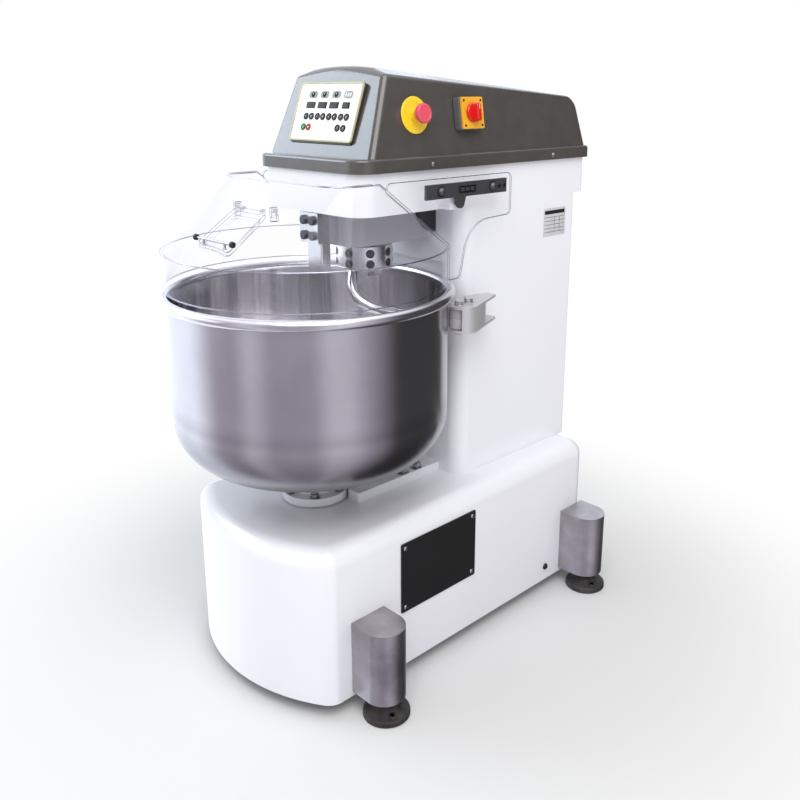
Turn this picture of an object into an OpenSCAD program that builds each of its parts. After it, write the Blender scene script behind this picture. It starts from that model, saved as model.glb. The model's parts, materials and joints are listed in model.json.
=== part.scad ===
// Floor-standing spiral dough mixer with a turning bowl.
// +Z is up and the front faces -Y. The origin is on the floor, at the
// middle of the machine's footprint. Millimetres.

/* [Bowl] */
// Radius of the bowl wall, outside
bowl_r = 296; // [292:1:298]
// Height of the rim's centre above the floor
rim_z = 849; // [845:1:855]
// Radius of the rolled rim's tube
rim_tube_r = 11; // [9:0.5:12]
// Thickness of the bowl's sheet
bowl_wall = 3; // [2:0.5:4]

/* [Base] */
// Half the width of the base
base_half_w = 242; // [238:1:246]
// Height of the base's top face
base_top_z = 378; // [374:1:380]
// Height of the base's lower edge
base_low_z = 33; // [28:1:40]
// Radius that rounds the base's top edge
base_fillet = 38; // [20:1:38]

/* [Column and head] */
// Half the width of the column
column_half_w = 166; // [160:1:166]
// Half the width of the head
head_half_w = 166; // [164:1:170]
// Height of the head's underside
head_z = 1015; // [1012:1:1018]
// Height of the cover's lower edge
cover_z = 1100; // [1096:1:1104]
// Height of the crown of the cover
crown_z = 1306; // [1300:1:1312]

/* [Spiral] */
// Distance from the bowl's axis to the spiral's axis
spiral_offset = 157; // [157:1:160]
// Radius of the spiral, to the middle of its bar
spiral_r = 97; // [85:1:97]
// Radius of the spiral's round bar
spiral_bar_r = 12; // [9:0.5:12]

/* [Guard] */
// Radius of the guard's skirt, outside
skirt_r = 298; // [294:1:298]
// Thickness of the guard's sheet
guard_wall = 4; // [3:0.5:4]

/* [Feet] */
// Radius of a levelling foot's pad
pad_r = 50; // [40:1:50]

/* [Hidden] */
$fn = 64;
skin = 3;                          // sheet metal of the casings
gap = 0.05;                        // radial running clearance of a shaft
slack = 0.5;                       // clearance between sheets and belts

rim_r = 300;                       // rim tube's centre
front_y = -rim_r - rim_tube_r;     // frontmost point, from the bowl's axis
rear_y = 746;                      // rearmost point, the cover's trim
centre_y = (front_y + rear_y) / 2; // middle of the footprint

// bowl
bowl_corner_r = 105;
bowl_corner_z = 589;
bowl_floor_z = 425;
bowl_floor_r = 80;

// base
nose_r = 404;                      // plan radius of the base's front
nose_y = -231;
base_corner = 40;
base_rear_y = 705;
plinth = [106, 39, 296, 400];      // half width, front, rear, top

// column and head
column_front_y = 296;
column_rear_y = 705;
head_front_y = 2;
head_rear_y = 740;
trim_half_w = 176;
trim_front_y = -4;
trim_h = 28;
face_low = [34, cover_z + 31];     // y, z of the sloping face's lower edge
face_high = [88, 1290];            // y, z of its upper edge
cover_low_w = 170;                 // half width at the trim
cover_high_w = 146;                // half width at the shoulders
cover_back_z = 1246;               // shoulder height at the rear
face_tilt = atan((face_high[0] - face_low[0]) / (face_high[1] - face_low[1]));
side_tilt = atan((cover_low_w - cover_high_w) / (face_high[1] - face_low[1]));

// bowl drive
bowl_shaft_r = 30;
bowl_bearing_r = 50;
bowl_pulley_r = 165;
bowl_motor_y = 420;
bowl_motor_pulley_r = 40;
bowl_drive_z = 78;                 // underside of the bowl's pulleys
deck_z = 130;                      // underside of the chassis deck
deck_t = 10;
rail = [196, 236, 36, 96];         // inner x, outer x, low z, top z
hub_r = 74;
hub_z = base_top_z + 2;
hub_t = 18;
hub_bolt_r = 62;                   // circle of the hub's bolts
hub_bolts_n = 6;

// spiral drive
spiral_shaft_r = 25;
spiral_bearing_r = 45;
spiral_pulley_r = 105;
spiral_motor_y = 500;
spiral_motor_pulley_r = 45;
spiral_drive_z = 1106;
pulley_h = 34;
motor_shaft_r = 13;
gearbox_z = 940;
gearbox_half_w = 82;
gearbox_front_y = 60;
flange_r = 62;
flange_z = [880, 931];
flange_columns = 8;
spiral_low_z = 503;
spiral_leg_r = 48;                 // where the leg leaves the flange
spiral_start = 290;                // direction of the leg, from the spiral's axis
spiral_turn = 600;

// breaker bar
bar_half_w = 25;
bar_y = [18, 43];
bar_low_z = 450;
clamp = [30, 5, gearbox_front_y, 949, 1013]; // half width, y, y, z, z

// guard
skirt_z = [870, 945];
guard_top_z = 1084;
guard_half_w = 208;
guard_front_y = -85;
guard_corner = 70;
guard_crease_y = 20;               // where the top edge leaves the front
guard_join_y = 213;                // where the skirt meets the side plates
guard_rear_y = 408;
pivot = [240, 1031];               // y, z of the guard's pivots
pivot_r = 6;
hatch = [52, -258, -168];          // half width, y of its lower and upper edge
hatch_x = 52;                      // middle of the hatch
hatch_pin_r = 3;

// guide roller
roller_pos = [225.6, 225.6];
roller_r = 22;
roller_pin_r = 6;
bracket_z = [762, 818];
bracket_t = 5;

// feet
foot_x = 297.5;
foot_y = [-57.5, 650];
foot_cover = [45, 50, 45, 207];    // radius, straight depth, low z, top z
stud_r = 8;

// side panels, the same on both sides
panel_y = [37, 272];
panel_z = [165, 330];
panel_t = 2.5;

// cable gland
gland_r = 10;
gland_bore_r = 6.5;

// control panel, in the plane of the sloping face
board = [200, 120];
column_u = [-52, -14, 24, 62];     // the four timer columns
key_pitch = 18;
key_row_v = -10;
low_row_v = -33;
key_r = 7.4;

// switches on the side of the cover
estop_y = 158;
switch_y = 310;
switch_z = 1209;

TIMER_KEYS = [for (i = [1:8]) str("timer_key_", i)];

// ---------- placing ----------

// every sub-part is drawn about the bowl's axis and moved here
module from_bowl_axis() translate([0, -centre_y, 0]) children();

module both_sides() {
    children();
    mirror([1, 0, 0]) children();
}

// local +Z is the outward normal of the cover's sloping face, +Y runs up it
module on_face(u = 0, v = 0)
    translate([0, (face_low[0] + face_high[0]) / 2, (face_low[1] + face_high[1]) / 2 + 3])
        rotate([90 - face_tilt, 0, 0])
            translate([u, v, 0]) children();

// local +Z is the outward normal of the cover's right side, +Y runs up it
module on_side(y)
    translate([side_x(switch_z), y, switch_z])
        rotate([90 - side_tilt, 0, 90]) children();

function side_x(z) = cover_low_w - (z - face_low[1]) * tan(side_tilt);

// ---------- shared shapes ----------

module rounded_rect(size, r) offset(r) offset(-r) square(size, center = true);

module ring(outer, inner, h) difference() {
    cylinder(h = h, r = outer);
    translate([0, 0, -1]) cylinder(h = h + 2, r = inner);
}

module pan_screw(r = 5, h = 2.5) rotate_extrude($fn = 32)
    polygon([[0, 0], [r, 0], [r, h * 0.4], [r * 0.7, h], [0, h]]);

module grooved_pulley(r, bore, h = pulley_h) difference() {
    union() {
        cylinder(h = h, r = r);
        for (z = [0, h - 3]) translate([0, 0, z]) cylinder(h = 3, r = r + 7);
    }
    translate([0, 0, -1]) cylinder(h = h + 2, r = bore);
}

module belt_loop(r1, r2, distance, h) linear_extrude(h) difference() {
    hull() {
        circle(r1 + 6);
        translate([0, distance]) circle(r2 + 6);
    }
    hull() {
        circle(r1 + slack);
        translate([0, distance]) circle(r2 + slack);
    }
}

module motor_body(r, h, bore) difference() {
    union() {
        cylinder(h = h, r = r);
        for (a = [0:15:345]) rotate(a) translate([r - 1, -1.5, 14]) cube([7, 3, h - 50]);
        translate([-r, -r, 0]) cube([2 * r, 2 * r, 10]);
        translate([r - 6, -35, h * 0.4]) cube([26, 70, 60]);
    }
    translate([0, 0, -1]) cylinder(h = h * 0.5, r = bore);
}

function unit(v) = v / norm(v);

// points of an arc about c; the last one is left out
function arc(c, r, from, to, steps) =
    [for (i = [0:steps - 1]) let (a = from + (to - from) * i / steps) c + r * [cos(a), sin(a)]];

// a closed solid through rings that all have the same number of points
module lofted(rings) {
    n = len(rings);
    m = len(rings[0]);
    walls = [for (i = [0:n - 2]) for (k = [0:m - 1])
        let (a = i * m + k, b = i * m + (k + 1) % m)
        each [[a, a + m, b + m], [a, b + m, b]]];
    first = [for (k = [0:m - 1]) k];
    last = [for (k = [m - 1:-1:0]) (n - 1) * m + k];
    polyhedron([for (ring = rings) each ring], concat([first, last], walls), convexity = 6);
}

// one closed tube along points, as rings set square to the path
module swept_tube(path, r, sides) {
    n = len(path);
    lofted([for (i = [0:n - 1])
        let (t = unit(path[min(i + 1, n - 1)] - path[max(i - 1, 0)]),
             s = unit(cross(t, [0, 0, 1])),
             u = cross(t, s))
        [for (k = [0:sides - 1])
            let (a = 360 * k / sides) path[i] + r * (s * cos(a) + u * sin(a))]]);
}

// ---------- base ----------

// where the nose's arc meets the rounded front corners
corner_x = base_half_w - base_corner;
nose_angle = asin(corner_x / (nose_r - base_corner));
corner_y = nose_y + nose_r - (nose_r - base_corner) * cos(nose_angle);

function base_ring(inset, z) =
    let (r = base_corner - inset, rear = base_rear_y - base_corner)
    [for (p = concat(
        arc([0, nose_y + nose_r], nose_r - inset, -90 - nose_angle, -90 + nose_angle, 20),
        arc([corner_x, corner_y], r, -90 + nose_angle, 0, 8),
        arc([corner_x, rear], r, 0, 90, 8),
        arc([-corner_x, rear], r, 90, 180, 8),
        arc([-corner_x, corner_y], r, 180, 270 - nose_angle, 8))) [p[0], p[1], z]];

module base_solid(inset, low) lofted(concat(
    [base_ring(inset, low)],
    [for (a = [0:15:90])
        base_ring(inset + (base_fillet - inset) * (1 - cos(a)),
                  base_top_z - inset - (base_fillet - inset) * (1 - sin(a)))]));

module at_gland() translate([120, base_rear_y, 90]) rotate([-90, 0, 0]) children();

module base_shell() color([0.94, 0.94, 0.96]) from_bowl_axis() difference() {
    union() {
        base_solid(0, base_low_z);
        translate([0, (plinth[1] + plinth[2]) / 2, base_top_z - 1])
            linear_extrude(plinth[3] - base_top_z + 1)
                rounded_rect([2 * plinth[0], plinth[2] - plinth[1]], 8);
    }
    base_solid(skin, base_low_z - 1);
    translate([0, 0, base_top_z - 40]) cylinder(h = 39.5, r = bowl_bearing_r + 6);
    translate([0, 0, base_top_z - 1]) cylinder(h = 40, r = hub_r + 6);
    translate([-140, column_front_y + 25, base_top_z - 50]) cube([280, 350, 100]);
    at_gland() cylinder(h = 20, r = gland_r, center = true);
    for (s = [-1, 1])
        translate([s * base_half_w, (panel_y[0] + panel_y[1]) / 2, (panel_z[0] + panel_z[1]) / 2])
            cube([20, panel_y[1] - panel_y[0] - 40, panel_z[1] - panel_z[0] - 40], center = true);
}

module panel_frame(h) linear_extrude(h)
    rounded_rect([panel_y[1] - panel_y[0], panel_z[1] - panel_z[0]], 4);

module at_side_panel(x)
    translate([x, (panel_y[0] + panel_y[1]) / 2, (panel_z[0] + panel_z[1]) / 2])
        rotate([90, 0, 90]) children();

module side_panels() color([0.07, 0.07, 0.08]) from_bowl_axis()
    both_sides() at_side_panel(base_half_w) panel_frame(panel_t);

module chassis_frame() color([0.45, 0.47, 0.5]) from_bowl_axis() difference() {
    union() {
        both_sides() {
            translate([rail[0], -100, rail[2]]) cube([rail[1] - rail[0], 750, rail[3] - rail[2]]);
            for (y = [-90, 260, 590])
                translate([rail[0], y, rail[3]]) cube([36, 50, deck_z - rail[3]]);
        }
        for (y = [-100, 600])
            translate([-rail[1], y, rail[2]]) cube([2 * rail[1], 50, 30]);
        translate([-rail[1], -100, deck_z]) cube([2 * rail[1], 750, deck_t]);
        translate([0, 0, deck_z]) cylinder(h = 370 - deck_z, r = bowl_bearing_r + 16);
        for (a = [0:90:270]) rotate(a + 45)
            translate([bowl_bearing_r + 10, -5, deck_z]) cube([60, 10, 180]);
    }
    translate([0, 0, deck_z - 1]) cylinder(h = 300, r = bowl_bearing_r);
    translate([0, bowl_motor_y, deck_z - 1]) cylinder(h = deck_t + 2, r = 30);
}

// ---------- bowl and its drive ----------

function bowl_line(inset) = concat(
    [[bowl_r - inset, rim_z]],
    arc([bowl_r - bowl_corner_r, bowl_corner_z], bowl_corner_r - inset, 0, -78, 12),
    [[bowl_floor_r, bowl_floor_z + inset], [0, bowl_floor_z + inset]]);

module bowl() color([0.74, 0.74, 0.75]) from_bowl_axis() {
    rotate_extrude($fn = 128) difference() {
        polygon(concat([[0, rim_z]], bowl_line(0)));
        polygon(concat([[0, rim_z + 1], [bowl_r - bowl_wall, rim_z + 1]], bowl_line(bowl_wall)));
    }
    rotate_extrude($fn = 128) translate([rim_r, rim_z]) circle(rim_tube_r, $fn = 32);
}

module bowl_shaft() color([0.93, 0.93, 0.95]) from_bowl_axis() {
    translate([0, 0, 66]) cylinder(h = hub_z - 66, r = bowl_shaft_r - gap);
    translate([0, 0, hub_z]) cylinder(h = hub_t, r = hub_r);
    translate([0, 0, hub_z + hub_t]) cylinder(h = bowl_floor_z - hub_z - hub_t, r = hub_bolt_r - 12);
}

module hub_bolts() color([0.78, 0.79, 0.8]) from_bowl_axis()
    for (i = [0:hub_bolts_n - 1]) rotate(i * 360 / hub_bolts_n + 22)
        translate([hub_bolt_r, 0, hub_z + hub_t]) {
            cylinder(h = 1.5, r = 10);
            translate([0, 0, 1.5]) cylinder(h = 7, r = 8.5 / cos(30), $fn = 6);
        }

module bowl_pulley() color([0.35, 0.36, 0.38]) from_bowl_axis()
    translate([0, 0, bowl_drive_z]) grooved_pulley(bowl_pulley_r, bowl_shaft_r);

module bowl_motor() color([0.25, 0.3, 0.38]) from_bowl_axis()
    translate([0, bowl_motor_y, deck_z + deck_t]) motor_body(72, 215, motor_shaft_r);

module bowl_motor_pulley() color([0.4, 0.41, 0.43]) from_bowl_axis()
    translate([0, bowl_motor_y, bowl_drive_z]) {
        grooved_pulley(bowl_motor_pulley_r, motor_shaft_r - 1);
        cylinder(h = 130, r = motor_shaft_r - gap);
    }

module drive_belts() color([0.08, 0.08, 0.08]) from_bowl_axis() {
    translate([0, 0, bowl_drive_z + 4])
        belt_loop(bowl_pulley_r, bowl_motor_pulley_r, bowl_motor_y, pulley_h - 8);
    translate([0, spiral_offset, spiral_drive_z + 4])
        belt_loop(spiral_pulley_r, spiral_motor_pulley_r, spiral_motor_y - spiral_offset, pulley_h - 8);
}

module shaft_bearings() color([0.65, 0.66, 0.68]) from_bowl_axis() {
    for (z = [145, 345])
        translate([0, 0, z]) ring(bowl_bearing_r, bowl_shaft_r, 20);
    for (z = [gearbox_z + 5, gearbox_z + 50])
        translate([0, spiral_offset, z]) ring(spiral_bearing_r, spiral_shaft_r, 20);
}

// ---------- column and head ----------

module column_outline(inset) {
    w = column_half_w - inset;
    hull() {
        for (s = [-1, 1]) {
            translate([s * (w - 38), column_front_y + inset + 38]) circle(38);
            translate([s * (w - 8), column_rear_y - inset - 8]) circle(8, $fn = 24);
        }
    }
}

// hollow in the front of the column, in which the bowl's rim turns
module rim_hollow(wall) translate([0, 0, 530 - wall])
    cylinder(h = 355 + 2 * wall, r = rim_r + rim_tube_r + 7 + wall, $fn = 180);

module column_shell() color([0.93, 0.93, 0.96]) from_bowl_axis() difference() {
    translate([0, 0, base_top_z]) linear_extrude(head_z - base_top_z) column_outline(0);
    difference() {
        translate([0, 0, base_top_z - 1]) linear_extrude(head_z - base_top_z + 2) column_outline(skin);
        rim_hollow(skin);
    }
    rim_hollow(0);
    translate([-130, column_rear_y - 10, 430]) cube([260, 20, 550]);
}

module rear_panel() color([0.92, 0.92, 0.95]) from_bowl_axis()
    translate([0, column_rear_y, 705]) rotate([-90, 0, 0])
        linear_extrude(2.5) rounded_rect([290, 590], 6);

module head_outline(inset, w = head_half_w, y0 = head_front_y, y1 = head_rear_y) {
    hull() for (s = [-1, 1]) {
        translate([s * (w - 45), y0 + 45]) circle(45 - inset);
        translate([s * (w - 12), y1 - 12]) circle(12 - inset, $fn = 32);
    }
}

module head_housing() color([0.94, 0.94, 0.97]) from_bowl_axis() difference() {
    translate([0, 0, head_z]) linear_extrude(cover_z - head_z) head_outline(0);
    translate([0, 0, head_z + 5]) linear_extrude(cover_z - head_z) head_outline(skin);
    translate([0, spiral_offset, head_z - 1]) cylinder(h = 10, r = spiral_bearing_r);
    translate([0, spiral_motor_y, head_z - 1]) cylinder(h = 10, r = 40);
    translate([-60, spiral_motor_y + 110, head_z - 1]) cube([120, 60, 10]);
}

module arm_gearbox() color([0.72, 0.72, 0.74]) from_bowl_axis() difference() {
    translate([0, 0, gearbox_z]) linear_extrude(head_z - gearbox_z) hull() {
        for (s = [-1, 1]) {
            translate([s * (gearbox_half_w - 34), gearbox_front_y + 34]) circle(34);
            translate([s * (gearbox_half_w - 5), column_front_y - 9]) circle(4, $fn = 24);
        }
    }
    translate([0, spiral_offset, gearbox_z - 1])
        cylinder(h = head_z - gearbox_z + 2, r = spiral_bearing_r);
}

module spiral_motor() color([0.25, 0.3, 0.38]) from_bowl_axis()
    translate([0, spiral_motor_y, head_z]) mirror([0, 0, 1]) motor_body(90, 260, motor_shaft_r);

// ---------- top cover ----------

module cover_solid(inset) {
    edge = 14 - inset;
    low_z = cover_z + trim_h - 4;
    hull() {
        for (s = [-1, 1]) {
            for (y = [face_low[0] - 2, 712])
                translate([s * (cover_low_w - 14), y + 14, low_z - inset])
                    cylinder(h = 1, r = edge, $fn = 32);
            translate([s * (cover_high_w - 14), face_high[0] + 14, face_high[1] - 14])
                sphere(edge, $fn = 24);
        }
        for (p = [[54, 6], [50, 1]])
            translate([inset + p[1] - cover_high_w, 680, cover_back_z - 54]) rotate([0, 90, 0])
                cylinder(h = 2 * (cover_high_w - p[1] - inset), r = p[0] - inset);
        for (x = [-90:30:90])
            translate([x, face_high[0] + 22, crown_z - 14 - 12 * pow(x / cover_high_w, 2)])
                sphere(edge, $fn = 16);
    }
}

module trim_outline(inset) head_outline(inset, trim_half_w, trim_front_y, rear_y);

module top_cover() color([0.3, 0.3, 0.3]) from_bowl_axis() difference() {
    union() {
        cover_solid(0);
        translate([0, 0, cover_z]) linear_extrude(trim_h - 6) trim_outline(0);
        translate([0, 0, cover_z + trim_h - 6]) hull() {
            linear_extrude(0.1) trim_outline(0);
            translate([0, 0, 4]) linear_extrude(0.1) trim_outline(2);
            translate([0, 0, 6]) linear_extrude(0.1) trim_outline(6);
        }
    }
    cover_solid(skin);
    translate([0, 0, cover_z - 1]) linear_extrude(trim_h - 3) trim_outline(skin);
    on_side(estop_y) translate([0, 0, -10]) cylinder(h = 30, r = 11);
    on_side(switch_y) translate([0, 0, -10]) cylinder(h = 30, r = 11);
    on_face() translate([0, 0, -12]) linear_extrude(30) rounded_rect(board - [16, 16], 4);
}

// ---------- control panel ----------

function key_u(i) = column_u[floor((i - 1) / 2)] + ((i - 1) % 2 - 0.5) * key_pitch;
LOW_ROW = [-62, -45, 50, 68];      // start, stop and the two mode keys

module display_windows(grow, h) for (i = [0:3])
    translate([column_u[i] - 1, 14, 0]) linear_extrude(h)
        rounded_rect([(i == 3 ? 22 : 28) + grow, 13 + grow], 1);

module control_panel() color([0.95, 0.94, 0.88]) from_bowl_axis() on_face() difference() {
    linear_extrude(4) rounded_rect(board, 7);
    translate([0, 0, -1]) display_windows(0.6, 6);
    for (i = [1:8]) translate([key_u(i), key_row_v, -1]) cylinder(h = 6, r = key_r + 0.3);
    for (u = LOW_ROW) translate([u, low_row_v, -1]) cylinder(h = 6, r = key_r + 0.3);
}

module display_board() color([0.12, 0.13, 0.12]) from_bowl_axis() on_face() {
    translate([0, 0, -8]) linear_extrude(2) rounded_rect(board - [30, 30], 2);
    translate([0, 0, -6]) display_windows(0, 9.4);
}

module panel_key(u, v, tone) color(tone) from_bowl_axis() on_face(u, v) {
    translate([0, 0, -4]) rotate_extrude($fn = 32)
        polygon([[0, 0], [key_r, 0], [key_r, 8.2], [key_r - 1, 9.2], [0, 9.6]]);
}

module timer_key(i) panel_key(key_u(i), key_row_v, [0.06, 0.06, 0.07]);
module mode_key(i) panel_key(LOW_ROW[i + 1], low_row_v, [0.06, 0.06, 0.07]);
module start_button() panel_key(LOW_ROW[0], low_row_v, [0.05, 0.55, 0.2]);
module stop_button() panel_key(LOW_ROW[1], low_row_v, [0.75, 0.12, 0.14]);

// ---------- switches on the side ----------

module estop_collar() color([0.97, 0.82, 0.12]) from_bowl_axis() on_side(estop_y) difference() {
    union() {
        translate([0, 0, 0.2]) cylinder(h = 2.5, r = 37);
        cylinder(h = 12, r = 15);
        translate([0, 0, -8]) cylinder(h = 9, r = 10.8);
        translate([-14, -14, -34]) cube([28, 28, 26]);
    }
    translate([0, 0, -20]) cylinder(h = 40, r = 8);
}

module estop_button() color([0.88, 0.25, 0.3]) from_bowl_axis() on_side(estop_y) {
    translate([0, 0, -12]) cylinder(h = 32, r = 8 - gap);
    translate([0, 0, 18]) rotate_extrude($fn = 48)
        polygon(concat([[0, 0], [13, 0], [20, 5]], arc([16, 11], 4, 0, 90, 4), [[16, 15], [0, 15]]));
}

module switch_box() color([0.4, 0.4, 0.42]) from_bowl_axis() on_side(switch_y) difference() {
    union() {
        translate([-2, 0, 0.2]) linear_extrude(15) rounded_rect([68, 68], 5);
        translate([0, 0, -10]) cylinder(h = 11, r = 10.8);
    }
    translate([0, 0, -8]) cylinder(h = 40, r = 7);
}

module switch_plate() color([0.96, 0.7, 0.12]) from_bowl_axis() on_side(switch_y) difference() {
    translate([2, 0, 15.2]) linear_extrude(5) rounded_rect([66, 66], 3);
    translate([0, 0, 10]) cylinder(h = 40, r = 7);
}

module switch_knob() color([0.88, 0.1, 0.08]) from_bowl_axis() on_side(switch_y) {
    translate([0, 0, -6]) cylinder(h = 28, r = 7 - gap);
    translate([0, 0, 20.7]) cylinder(h = 7, r = 20);
    translate([0, 0, 27.7]) linear_extrude(14) rounded_rect([13, 38], 5);
}

// ---------- spiral, breaker bar ----------

module spiral_shaft() color([0.6, 0.61, 0.63]) from_bowl_axis()
    translate([0, spiral_offset, flange_z[0]])
        cylinder(h = spiral_drive_z + pulley_h + 6 - flange_z[0], r = spiral_shaft_r - gap);

module spiral_pulley() color([0.35, 0.36, 0.38]) from_bowl_axis()
    translate([0, spiral_offset, spiral_drive_z]) grooved_pulley(spiral_pulley_r, spiral_shaft_r);

module spiral_motor_pulley() color([0.4, 0.41, 0.43]) from_bowl_axis()
    translate([0, spiral_motor_y, spiral_drive_z]) {
        grooved_pulley(spiral_motor_pulley_r, motor_shaft_r - 1);
        translate([0, 0, -160]) cylinder(h = 160 + pulley_h, r = motor_shaft_r - gap);
    }

module at_flange_screws() translate([0, spiral_offset, 0])
    for (i = [0:flange_columns - 1]) for (z = [894, 917])
        rotate(i * 360 / flange_columns + 16) translate([flange_r - 9, 0, z])
            rotate([0, 90, 0]) children();

module hook_flange() color([0.8, 0.8, 0.8]) from_bowl_axis() difference() {
    translate([0, spiral_offset, flange_z[0]])
        ring(flange_r, spiral_shaft_r, flange_z[1] - flange_z[0]);
    at_flange_screws() cylinder(h = 20, r = 8);
}

module flange_screws() color([0.3, 0.3, 0.32]) from_bowl_axis() at_flange_screws() difference() {
    cylinder(h = 8.2, r = 7.8);
    translate([0, 0, 5]) cylinder(h = 5, r = 3.6, $fn = 6);
}

// the spiral leaves the flange as a steep leg, winds down evenly and curls in at its end
leg_drop = 55;
leg_turn = 12;                     // degrees in which the leg fades into the helix
helix_top_z = flange_z[0] - leg_drop;

function spiral_radius(a) =
    let (tail = max(0, (a / spiral_turn - 0.8) / 0.2))
    spiral_r - (spiral_r - spiral_leg_r) * exp(-a / leg_turn) - (spiral_r - 36) * pow(tail, 1.4);

function spiral_height(a) = helix_top_z + leg_drop * exp(-a / leg_turn)
    - (helix_top_z - spiral_low_z) * a / spiral_turn;

module spiral_hook() color([0.8, 0.8, 0.81]) from_bowl_axis() translate([0, spiral_offset, 0]) {
    path = [for (a = [0:spiral_turn / 96:spiral_turn])
        [spiral_radius(a) * cos(a + spiral_start), spiral_radius(a) * sin(a + spiral_start),
         spiral_height(a)]];
    intersection() {
        swept_tube(path, spiral_bar_r, 12);
        translate([0, 0, spiral_low_z - 40]) cylinder(h = flange_z[0] - spiral_low_z + 40, r = 200);
    }
    translate([0, 0, flange_z[0] - 14]) cylinder(h = 14, r = 46);
}

module breaker_bar() color([0.82, 0.82, 0.83]) from_bowl_axis()
    translate([0, (bar_y[0] + bar_y[1]) / 2, bar_low_z])
        linear_extrude(clamp[4] - 4 - bar_low_z) rounded_rect([2 * bar_half_w, bar_y[1] - bar_y[0]], 4);

module breaker_clamp() color([0.75, 0.75, 0.77]) from_bowl_axis() difference() {
    translate([-clamp[0], clamp[1], clamp[3]])
        cube([2 * clamp[0], clamp[2] - clamp[1], clamp[4] - clamp[3]]);
    translate([0, (bar_y[0] + bar_y[1]) / 2, clamp[3] - 1])
        linear_extrude(100) rounded_rect([2 * bar_half_w + 0.2, bar_y[1] - bar_y[0] + 0.2], 4);
}

module clamp_screws() color([0.22, 0.22, 0.23]) from_bowl_axis()
    for (x = [-14, 14]) for (z = [965, 997])
        translate([x, clamp[1], z]) rotate([90, 0, 0]) rotate_extrude($fn = 32)
            polygon(concat([[0, 0], [10, 0], [10, 4]], arc([7, 4], 3, 0, 90, 4), [[7, 7], [0, 7]]));

// ---------- guard ----------

// the space under the guard's sloping front, from the skirt to the top edge
module guard_front(inset, drop) hull() {
    translate([0, 0, skirt_z[1] - drop]) linear_extrude(0.1) intersection() {
        circle(skirt_r - inset, $fn = 120);
        translate([-400, -400]) square([800, 400 + guard_join_y]);
    }
    translate([0, 0, guard_top_z - drop]) linear_extrude(0.1) intersection() {
        translate([0, 200]) offset(guard_corner - inset) square([
            2 * (guard_half_w - guard_corner), 2 * (200 - guard_front_y - guard_corner)], center = true);
        translate([-400, -400]) square([800, 400 + guard_crease_y]);
    }
}

// outline of a side plate in Y and Z, from the crease to the rear cut-out
module side_plate_outline() offset(12) offset(-12) polygon(concat(
    [[guard_join_y - 10, skirt_z[0]], [guard_join_y - 10, skirt_z[1] + 2],
     [guard_crease_y - 8, guard_top_z], [guard_rear_y, guard_top_z], [guard_rear_y, 993],
     [336, 990]],
    arc([336, 912], 78, 96, 172, 8),
    [[246, skirt_z[0]]]));

module guard_skirt() translate([0, 0, skirt_z[0]]) difference() {
    ring(skirt_r, skirt_r - guard_wall, skirt_z[1] - skirt_z[0] + 0.1);
    translate([-400, guard_join_y, -1]) cube([800, 400, 200]);
}

module hatch_prism(grow) translate([hatch_x, (hatch[1] + hatch[2]) / 2, skirt_z[1] - 20])
    linear_extrude(200) rounded_rect([2 * (hatch[0] + grow), hatch[2] - hatch[1] + 2 * grow], 10);

function slope_z(y) = skirt_z[1] + (guard_top_z - skirt_z[1]) * (y + skirt_r) / (guard_front_y + skirt_r);
hatch_axis = [hatch[2] + 9, slope_z(hatch[2]) + 12];

module guard_shell() color([0.85, 0.88, 0.95, 0.3]) from_bowl_axis() difference() {
    union() {
        difference() {
            guard_front(0, 0);
            translate([0, 0.05, 0]) guard_front(guard_wall, 2.2);
            translate([guard_wall - guard_half_w, guard_crease_y - 10, skirt_z[1] - 30])
                cube([2 * (guard_half_w - guard_wall), 400, 200]);
            translate([0, 0, guard_top_z - 2.2]) linear_extrude(4) offset(-14)
                translate([0, 200]) square([2 * guard_half_w, 2 * (200 - guard_front_y)], center = true);
        }
        guard_skirt();
        both_sides() translate([guard_half_w - guard_wall, 0, 0]) rotate([90, 0, 90])
            linear_extrude(guard_wall) side_plate_outline();
        for (s = [-1, 1])
            translate([hatch_x + s * (hatch[0] + 8) - 3, hatch_axis[0] - 7, hatch_axis[1] - 20])
                cube([6, 14, 26]);
    }
    hatch_prism(-8);
    translate([hatch_x - 100, hatch_axis[0], hatch_axis[1]]) rotate([0, 90, 0])
        cylinder(h = 200, r = hatch_pin_r + 0.1);
    for (s = [-1, 1]) translate([s * guard_half_w, pivot[0], pivot[1]]) rotate([0, 90, 0])
        cylinder(h = 20, r = pivot_r + 0.2, center = true);
}

module guard_bars() color([0.62, 0.62, 0.63]) from_bowl_axis() both_sides() {
    translate([guard_half_w, 0, 0]) rotate([90, 0, 90]) linear_extrude(6) union() {
        translate([138, 1044]) square([247, 30]);
        hull() {
            translate([pivot[0], pivot[1]]) circle(11, $fn = 32);
            translate([pivot[0] - 16, 1046]) square([32, 2]);
        }
    }
    for (y = [180, 338]) translate([guard_half_w + 6, y, 1059]) rotate([0, 90, 0])
        rotate_extrude($fn = 32) polygon(concat([[0, 0]], arc([0, 0], 9, 0, 90, 6), [[0, 9]]));
    translate([176, pivot[0], pivot[1]]) rotate([0, 90, 0])
        cylinder(h = guard_half_w + 2 - 176, r = pivot_r - gap);
}

module guard_pivot_blocks() color([0.92, 0.92, 0.94]) from_bowl_axis() both_sides() difference() {
    translate([head_half_w, pivot[0] - 20, head_z + 2]) cube([34, 40, 28]);
    translate([head_half_w + 4, pivot[0], pivot[1]]) rotate([0, 90, 0]) cylinder(h = 60, r = pivot_r);
}

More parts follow.
